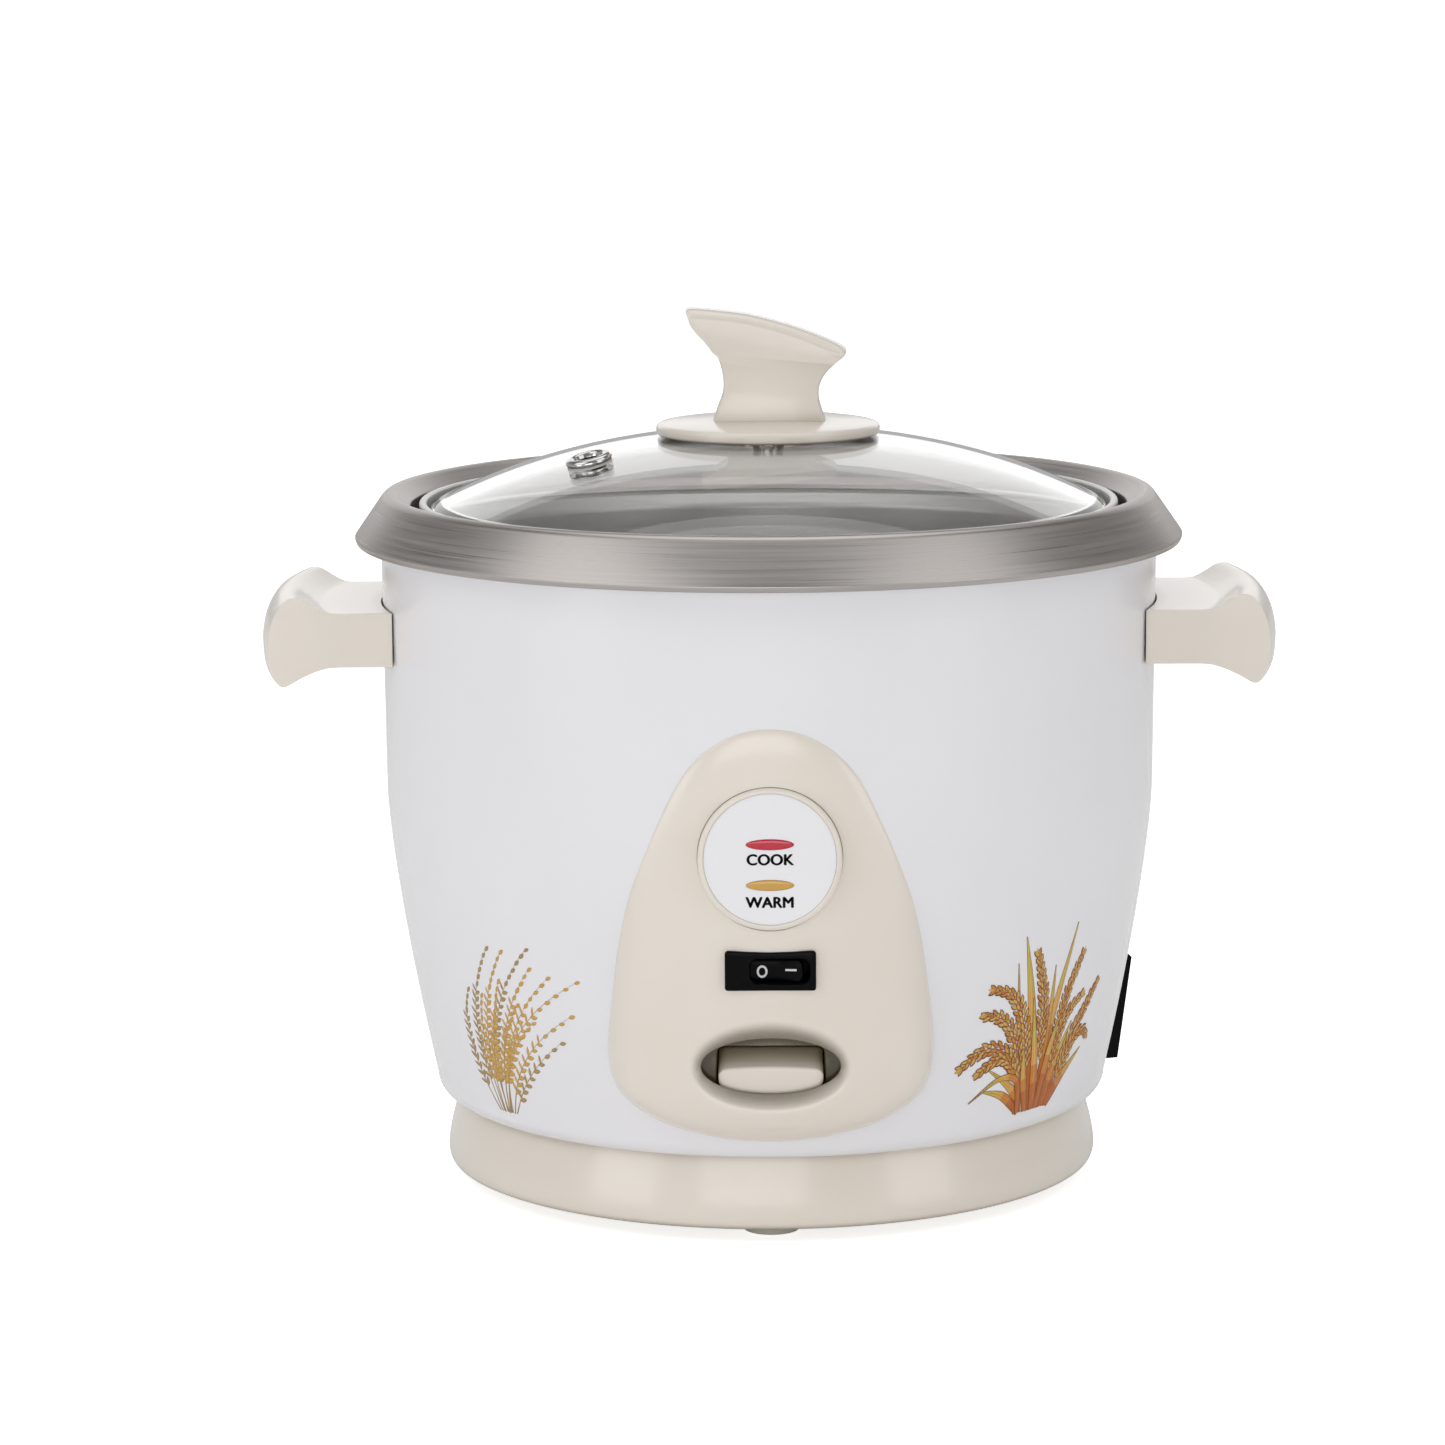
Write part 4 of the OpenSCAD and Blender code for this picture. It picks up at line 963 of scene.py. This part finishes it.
def make_lid_knob():
    under = [(r, glass_z(r) + 0.62) for r in (0, 7, 14, 21, 28, 32.4)]
    rim_of_flange = [(32.6, 231.15, 0), (34.6, 231.15, 0.9), (34.6, 234.4, 1.5), (30, 235.1, 0)]
    edge = with_arcs(rim_of_flange, 7, closed=False)
    flange = [(0, 235.9)] + [tuple(p) for p in edge][::-1] + under[::-1]
    grip_line = [(-19, 231), (-17, 235.2), (-15.4, 239.8), (-13.9, 244), (-13.8, 248.7), (-15, 254),
                 (-17.2, 258.8), (-19.8, 262.6), (-23, 266), (-25, 268.6), (-24.8, 269.8), (-22.6, 270.1),
                 (-15.5, 269.5), (-7, 268.4), (1.5, 266.4), (10, 263.8), (17.4, 260.9), (22.7, 258.4),
                 (24.2, 257), (23.8, 255.6), (21.6, 253.6), (17.9, 249.9), (16.1, 246.4), (15.8, 243),
                 (16.4, 239.8), (18, 235.2), (20, 231)]
    outline = curve_through(grip_line, 5)
    slices = []
    for k in range(-12, 13):
        h = 6.5 * math.sin(math.pi / 2 * k / 12)
        past = min(max((abs(h) - 2.0) / 4.5, 0), 1)
        roll = 1 - math.sqrt(max(1 - past ** 2, 0))
        ring = []
        for x, z in outline:
            high = min(max((z - 250) / 10, 0), 1)
            ring.append((x * (1 - 0.05 * roll), h, z - 3.4 * roll * high * high))
        slices.append(ring)
    grip = loft(slices, cap_first=True, cap_last=True)
    knob = mesh_piece("lid_handle", *joined([turned(flange, 192), grip]), 40)
    soften(knob, 1.1, 4, 60)
    return place(knob, "lid", "cream_plastic", ["lid_knob"])


# ---------- springs ----------

def make_coil(node, body, radii, ends, turns):
    """A coil spring wound between two heights, riding on its body, with a mesh of its own."""
    radius, wire = radii
    low, high = ends
    per_turn = 40
    rings = []
    for k in range(turns * per_turn + 1):
        turn = 2 * math.pi * k / per_turn
        out, up = Vector((math.cos(turn), math.sin(turn), 0)), Vector((0, 0, 1))
        middle = out * radius + up * (low + (high - low) * k / (turns * per_turn))
        round_wire = (2 * math.pi * j / 10 for j in range(10))
        rings.append([middle + (out * math.cos(a) + up * math.sin(a)) * wire for a in round_wire])
    coil = mesh_piece(node + "_coil", *loft(rings, cap_first=True, cap_last=True), 50)
    place(coil, body, "spring_steel", [node])
    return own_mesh(coil)


# ---------- printed motifs ----------

def on_casing(turn, u, z, lift):
    """A point u millimetres round from a direction, at a height, just proud of the casing."""
    r = casing_r(z)
    angle = math.radians(turn) + u / r
    return ((r + lift) * math.cos(angle), (r + lift) * math.sin(angle), z)


class Print:
    """Flat shapes laid on the casing, each with its own ink, later ones over earlier ones."""

    def __init__(self, turn, inks):
        self.turn, self.inks = turn, inks
        self.points, self.faces, self.ink_of = [], [], []
        self.lift = 0.05

    def ribbon(self, line, widths, ink):
        """A band along a line of (u, z) points, with a width at each, in one ink or in one for each step."""
        start = len(self.points)
        self.lift += 0.0001
        for i, p in enumerate(line):
            along = line[min(i + 1, len(line) - 1)] - line[max(i - 1, 0)]
            across = Vector((-along[1], along[0])).normalized() * widths[i] / 2
            for q in (p - across, p + across):
                self.points.append(on_casing(self.turn, q[0], q[1], self.lift))
        for i in range(len(line) - 1):
            a = start + 2 * i
            self.faces.append((a, a + 1, a + 3, a + 2))
            self.ink_of.append(self.inks.index(ink[i] if isinstance(ink, list) else ink))

    def leaf(self, root, direction, length, width, ink, droop=0.0, steps=6):
        """A pointed leaf from its root, which bends by droop along its way."""
        line, widths = [], []
        p, heading = Vector(root), Vector(direction).normalized()
        for k in range(steps + 1):
            share = k / steps
            line.append(p.copy())
            widths.append(max(width * math.sin(math.pi * min(share * 0.94 + 0.06, 1.0)) ** 0.8, 0.06))
            heading = (heading + Vector((0, -droop / steps))).normalized()
            p += heading * length / steps
        self.ribbon(line, widths, ink)

    def piece(self, name):
        printed = mesh_piece(name, self.points, self.faces)
        for ink in self.inks:
            printed.data.materials.append(finishes[ink])
        for polygon, ink in zip(printed.data.polygons, self.ink_of):
            polygon.material_index = ink
        thick = printed.modifiers.new("ink", "SOLIDIFY")
        thick.thickness = 0.03 * MM
        thick.offset = 0
        return place(printed, "casing", "enamel")


def stem_line(root, lean, height, curl, steps=18):
    """A stem that leaves its root upright and leans over as it rises."""
    line = []
    for k in range(steps + 1):
        share = k / steps
        line.append(Vector((root[0] + lean * share + curl * share ** 2.4, root[1] + height * share)))
    return line


def make_sprigs():
    """A fan of thin stems with small paired leaves, which end in a row of single ones."""
    art = Print(-90 - 49.5, ["print_tan", "print_straw"])
    fan = [(-3, -26, 37, 19), (-2, -21, 52, 26), (-0.5, -12, 52, 22), (0.5, -6, 54, 26), (1.5, 1, 48, 18),
           (2.5, 3, 46, 22), (3, 0, 46, 35), (4, 9, 35, 21), (5, 14, 26, 10), (-1, -11, 36, 9),
           (0.5, -4, 42, 10), (1.5, 0, 36, 12), (2, 3, 31, 14), (1, -7, 30, 8)]
    for number, (root_u, lean, height, curl) in enumerate(fan):
        ink = "print_tan" if number in (0, 1, 3, 8) else "print_straw"
        line = stem_line((root_u, 32.5 + rng.uniform(0, 0.5)), lean, height, curl, round(height / 2.5))
        last = len(line) - 1
        art.ribbon(line, [0.42 - 0.34 * k / last for k in range(last + 1)], "print_tan")
        for k in range(round(last * (0.2 if number < 9 else 0.3)), last + 1):
            along = (line[k] - line[k - 1]).normalized()
            single = k > 0.76 * last
            for flip in (1,) if single else (1, -1):
                turn = -14 if single else -42 * flip
                splay = Matrix.Rotation(math.radians(turn + rng.uniform(-7, 7)), 2)
                size = rng.uniform(2.9, 3.5) * (1 - 0.25 * k / last)
                fat = 0.5 if flip > 0 or single else 0.32
                art.leaf(line[k] - along * 0.5 * flip, splay @ along, size, size * fat, ink, steps=5)
    return art.piece("left_motif")


def drawn_blade(art, points, width):
    """A long leaf through its points, rust at its foot and yellow at its tip, with a dark edge."""
    line = curve_through([points[0]] + points + [points[-1]], 12)
    last = len(line) - 1
    tones = ["print_rust", "print_rust", "print_orange", "print_gold", "print_yellow", "print_yellow"]
    widths = [max(width * (0.5 + 0.5 * math.sin(math.pi * min(k / last + 0.1, 1)))
                  * (1 - (k / last) ** 3) ** 0.8, 0.1) for k in range(last + 1)]
    art.ribbon(line, [v + 0.28 for v in widths], "print_brown")
    art.ribbon(line, widths, [tones[min(int(6 * k / last), 5)] for k in range(last)])
    for side in (-0.18, 0.2):
        vein = [p + Vector((side * v, 0)) for p, v in zip(line[:-3], widths)]
        art.ribbon(vein, [0.13] * len(vein), "print_orange" if side > 0 else "print_rust")


def drawn_ear(art, points, width, bare=0.3):
    """An ear of rice along its points from root to tip: a stem, then overlapping grains in rows."""
    smooth = curve_through([points[0]] + points + [points[-1]], 10)
    length = sum((b - a).length for a, b in zip(smooth, smooth[1:]))
    steps = round(length / 1.25)
    line, i, done = [smooth[0]], 0, 0.0
    for k in range(1, steps):
        while i < len(smooth) - 2 and done + (smooth[i + 1] - smooth[i]).length < k * length / steps:
            done += (smooth[i + 1] - smooth[i]).length
            i += 1
        gap = (smooth[i + 1] - smooth[i]).length
        line.append(smooth[i].lerp(smooth[i + 1], (k * length / steps - done) / gap))
    line.append(smooth[-1])
    art.ribbon(line, [0.7 - 0.4 * k / len(line) for k in range(len(line))], "print_rust")
    for k in range(round(bare * steps), steps):
        along = (line[k + 1] - line[k - 1]).normalized()
        across = Vector((along[1], -along[0]))
        share = (k - bare * steps) / (steps - bare * steps)
        half = width / 2 * (0.45 + 0.55 * math.sin(math.pi * min(0.25 + 0.75 * share, 1))) * (1 - share ** 4)
        columns = (-1, 1) if k % 2 else (-0.35, 0.5)
        for column in columns:
            splay = Matrix.Rotation(math.radians(-26 * column + rng.uniform(-8, 8)), 2)
            seat = line[k] + across * half * 0.62 * column - along * 0.6
            size = rng.uniform(2.3, 2.7)
            art.leaf(seat, splay @ along, size + 0.4, 1.5, "print_brown", steps=5)
            art.leaf(seat + along * 0.2 + across * 0.08, splay @ along, size - 0.1, 1.0,
                     rng.choice(["print_gold", "print_gold", "print_orange"]), steps=5)
    art.leaf(line[-2], line[-1] - line[-2], 2.4, 1.0, "print_gold", steps=5)


def make_rice_sheaf():
    """Long blades among drooping ears of rice."""
    inks = ["print_yellow", "print_gold", "print_orange", "print_rust", "print_brown"]
    art = Print(-90 + 47.5, inks)
    foot = 33.4
    for points, width in (
            ([(-2, foot), (-10, 60), (-14.5, 82)], 1.7), ([(4, foot), (4, 60), (11.5, 91)], 3.4),
            ([(2, foot), (3, 60), (2.5, 79)], 2.4), ([(0, foot), (-5, 62), (-12.5, 90)], 4.2),
            ([(6.5, foot), (9, 46), (15.5, 59)], 3.8), ([(8, foot), (15, 42), (24, 49)], 3.0),
            ([(-6, foot), (-9, 41), (-20.5, 49.5)], 3.0), ([(-5, foot), (-13, 40), (-21.5, 42.5)], 2.8)):
        drawn_blade(art, [Vector(p) for p in points], width)
    for points, width in (
            ([(5, foot), (8, 58), (11, 70), (17, 81)], 3.6),
            ([(5, foot), (9, 56), (14, 63.5), (20.5, 67)], 3.4),
            ([(7, foot), (15, 52), (22, 61), (29.5, 69.5)], 3.8),
            ([(7, foot), (15, 48), (19, 53.5), (24, 54.5), (27.5, 51.5)], 3.6),
            ([(0, foot), (0, 48), (-1, 68), (-7, 84.5)], 4.6),
            ([(-3, foot), (-6, 52), (-10, 65), (-16, 72.5), (-24, 75)], 5.0),
            ([(-4, foot), (-8, 49), (-13, 60), (-19, 65.5), (-26, 67)], 4.8),
            ([(-5, foot), (-9, 46), (-15, 54), (-23, 56), (-32, 50.5)], 4.8),
            ([(-6, 40), (-12, 50), (-18, 52), (-25, 48)], 3.0)):
        drawn_ear(art, [Vector(p) for p in points], width)
    drawn_blade(art, [Vector(p) for p in ((-5.5, foot), (-8, 44), (-16, 45.5), (-26, 39.5))], 2.2)
    for points, width in (([(1, foot), (-1, 48), (-6, 70)], 3.2), ([(3, foot), (5, 50), (8, 62)], 2.8),
                          ([(-2, foot), (-5, 44), (-7, 54)], 2.6)):
        drawn_blade(art, [Vector(p) for p in points], width)
    return art.piece("right_motif")


# ---------- studio ----------

def make_floor():
    reach = 40.0
    rings = [[(r * math.cos(2 * math.pi * k / 64) / MM, r * math.sin(2 * math.pi * k / 64) / MM, 0)
              for k in range(64)] for r in (0.5, 1.5, 5, reach)]
    floor = mesh_piece("floor", *loft(rings, cap_first=True))
    paper = plastic("Studio Paper", rgb(238, 238, 238), rgb(236, 236, 236), 0.7, 300.0, 0.02,
                    Emission_Color=(1, 1, 1, 1))
    w = Wiring(paper.node_tree)
    surface = next(n for n in paper.node_tree.nodes if n.type == "BSDF_PRINCIPLED")
    seen = w.node("LightPath").outputs["Is Camera Ray"]
    w.tree.links.new(w.spread(seen, 0.0, 1.0, 0.12, 0.75), surface.inputs["Emission Strength"])
    floor.data.materials.append(paper)


def make_sky():
    """Soft white surroundings, darker at half height so that metal and glass have something to show."""
    world = bpy.data.worlds.new("Studio")
    bpy.context.scene.world = world
    world.use_nodes = True
    w = Wiring(world.node_tree)
    w.tree.nodes.clear()
    height = w.node("SeparateXYZ", {0: w.node("TexCoord").outputs["Generated"]}).outputs[2]
    ramp = w.node("ValToRGB", {0: height})
    stops = [(0.0, 0.48), (0.15, 0.48), (0.35, 0.34), (0.6, 0.2), (0.85, 0.3), (1.0, 0.8)]
    ramp.color_ramp.elements[0].position = stops[0][0]
    ramp.color_ramp.elements[1].position = stops[-1][0]
    for position, value in stops[1:-1]:
        ramp.color_ramp.elements.new(position)
    for element, (position, value) in zip(ramp.color_ramp.elements, stops):
        element.color = (value, value, value, 1)
    light = w.node("Background", {0: ramp.outputs[0], 1: 1.0})
    w.node("OutputWorld", {0: light.outputs[0]})


def add_softbox(name, place_at, aim, size, power):
    light = bpy.data.lights.new(name, "AREA")
    light.shape = "RECTANGLE"
    light.size, light.size_y = size
    light.energy = power
    lamp = bpy.data.objects.new(name, light)
    lamp.location = place_at
    lamp.rotation_euler = (Vector(aim) - Vector(place_at)).to_track_quat("-Z", "Y").to_euler()
    lamp.visible_camera = False
    bpy.context.scene.collection.objects.link(lamp)


def make_studio():
    make_floor()
    make_sky()
    middle = (0, 0, 0.13)
    add_softbox("key_left", (-1.1, -0.64, 1.25), middle, (1.4, 1.0), 5.8)
    add_softbox("key_right", (1.05, -0.66, 1.25), middle, (1.2, 1.0), 4.0)
    add_softbox("fill_front", (-0.2, -1.9, 0.45), middle, (1.3, 0.6), 5.4)
    add_softbox("fill_left", (-1.5, -1.15, 0.3), middle, (0.8, 0.7), 3.4)
    add_softbox("fill_right", (1.5, -1.15, 0.3), middle, (0.8, 0.7), 3.0)
    add_softbox("overhead", (0, 0.45, 1.6), middle, (1.4, 1.0), 4.0)
    add_softbox("backdrop", (0, 2.6, 1.0), middle, (3.4, 1.2), 10.0)


def make_camera():
    camera = bpy.data.cameras.new("camera")
    camera.lens = 129.45
    camera.sensor_width = 36
    camera.clip_end = 100
    holder = bpy.data.objects.new("camera", camera)
    tilt = (Matrix.Rotation(math.radians(0.523), 4, "Z") @ Matrix.Rotation(math.radians(80.59), 4, "X")
            @ Matrix.Rotation(math.radians(-0.35), 4, "Z"))
    holder.matrix_world = Matrix.Translation((0, -1.6, 0.4057)) @ tilt
    bpy.context.scene.collection.objects.link(holder)
    bpy.context.scene.camera = holder


make_studio()
make_camera()
bpy.context.scene.view_settings.view_transform = "Standard"

make_coil("sensor_spring", "casing", (14.6, 0.5), (57.6, 73.4), 5)
make_coil("release_spring", "magnet_unit", (4.6, 0.4), (59.5, 71.2), 6)
make_casing()
make_rim()
make_base()
make_handle(-1, "left_handle")
make_handle(1, "right_handle")
make_panel()
make_bezel()
make_lamp_window("cook_lamp", LAMP_Z + 6, "red_lens")
make_lamp_window("warm_lamp", LAMP_Z - 6, "amber_lens")
make_words("COOK", 3.2, LAMP_Z + 1.4)
make_words("WARM", 3.2, LAMP_Z - 11.2)
make_switch_frame()
make_rocker()
make_switch_marks()
make_lever_knob()
make_pot()
make_glass()
make_vent()
make_lid_knob()
make_sprigs()
make_rice_sheaf()
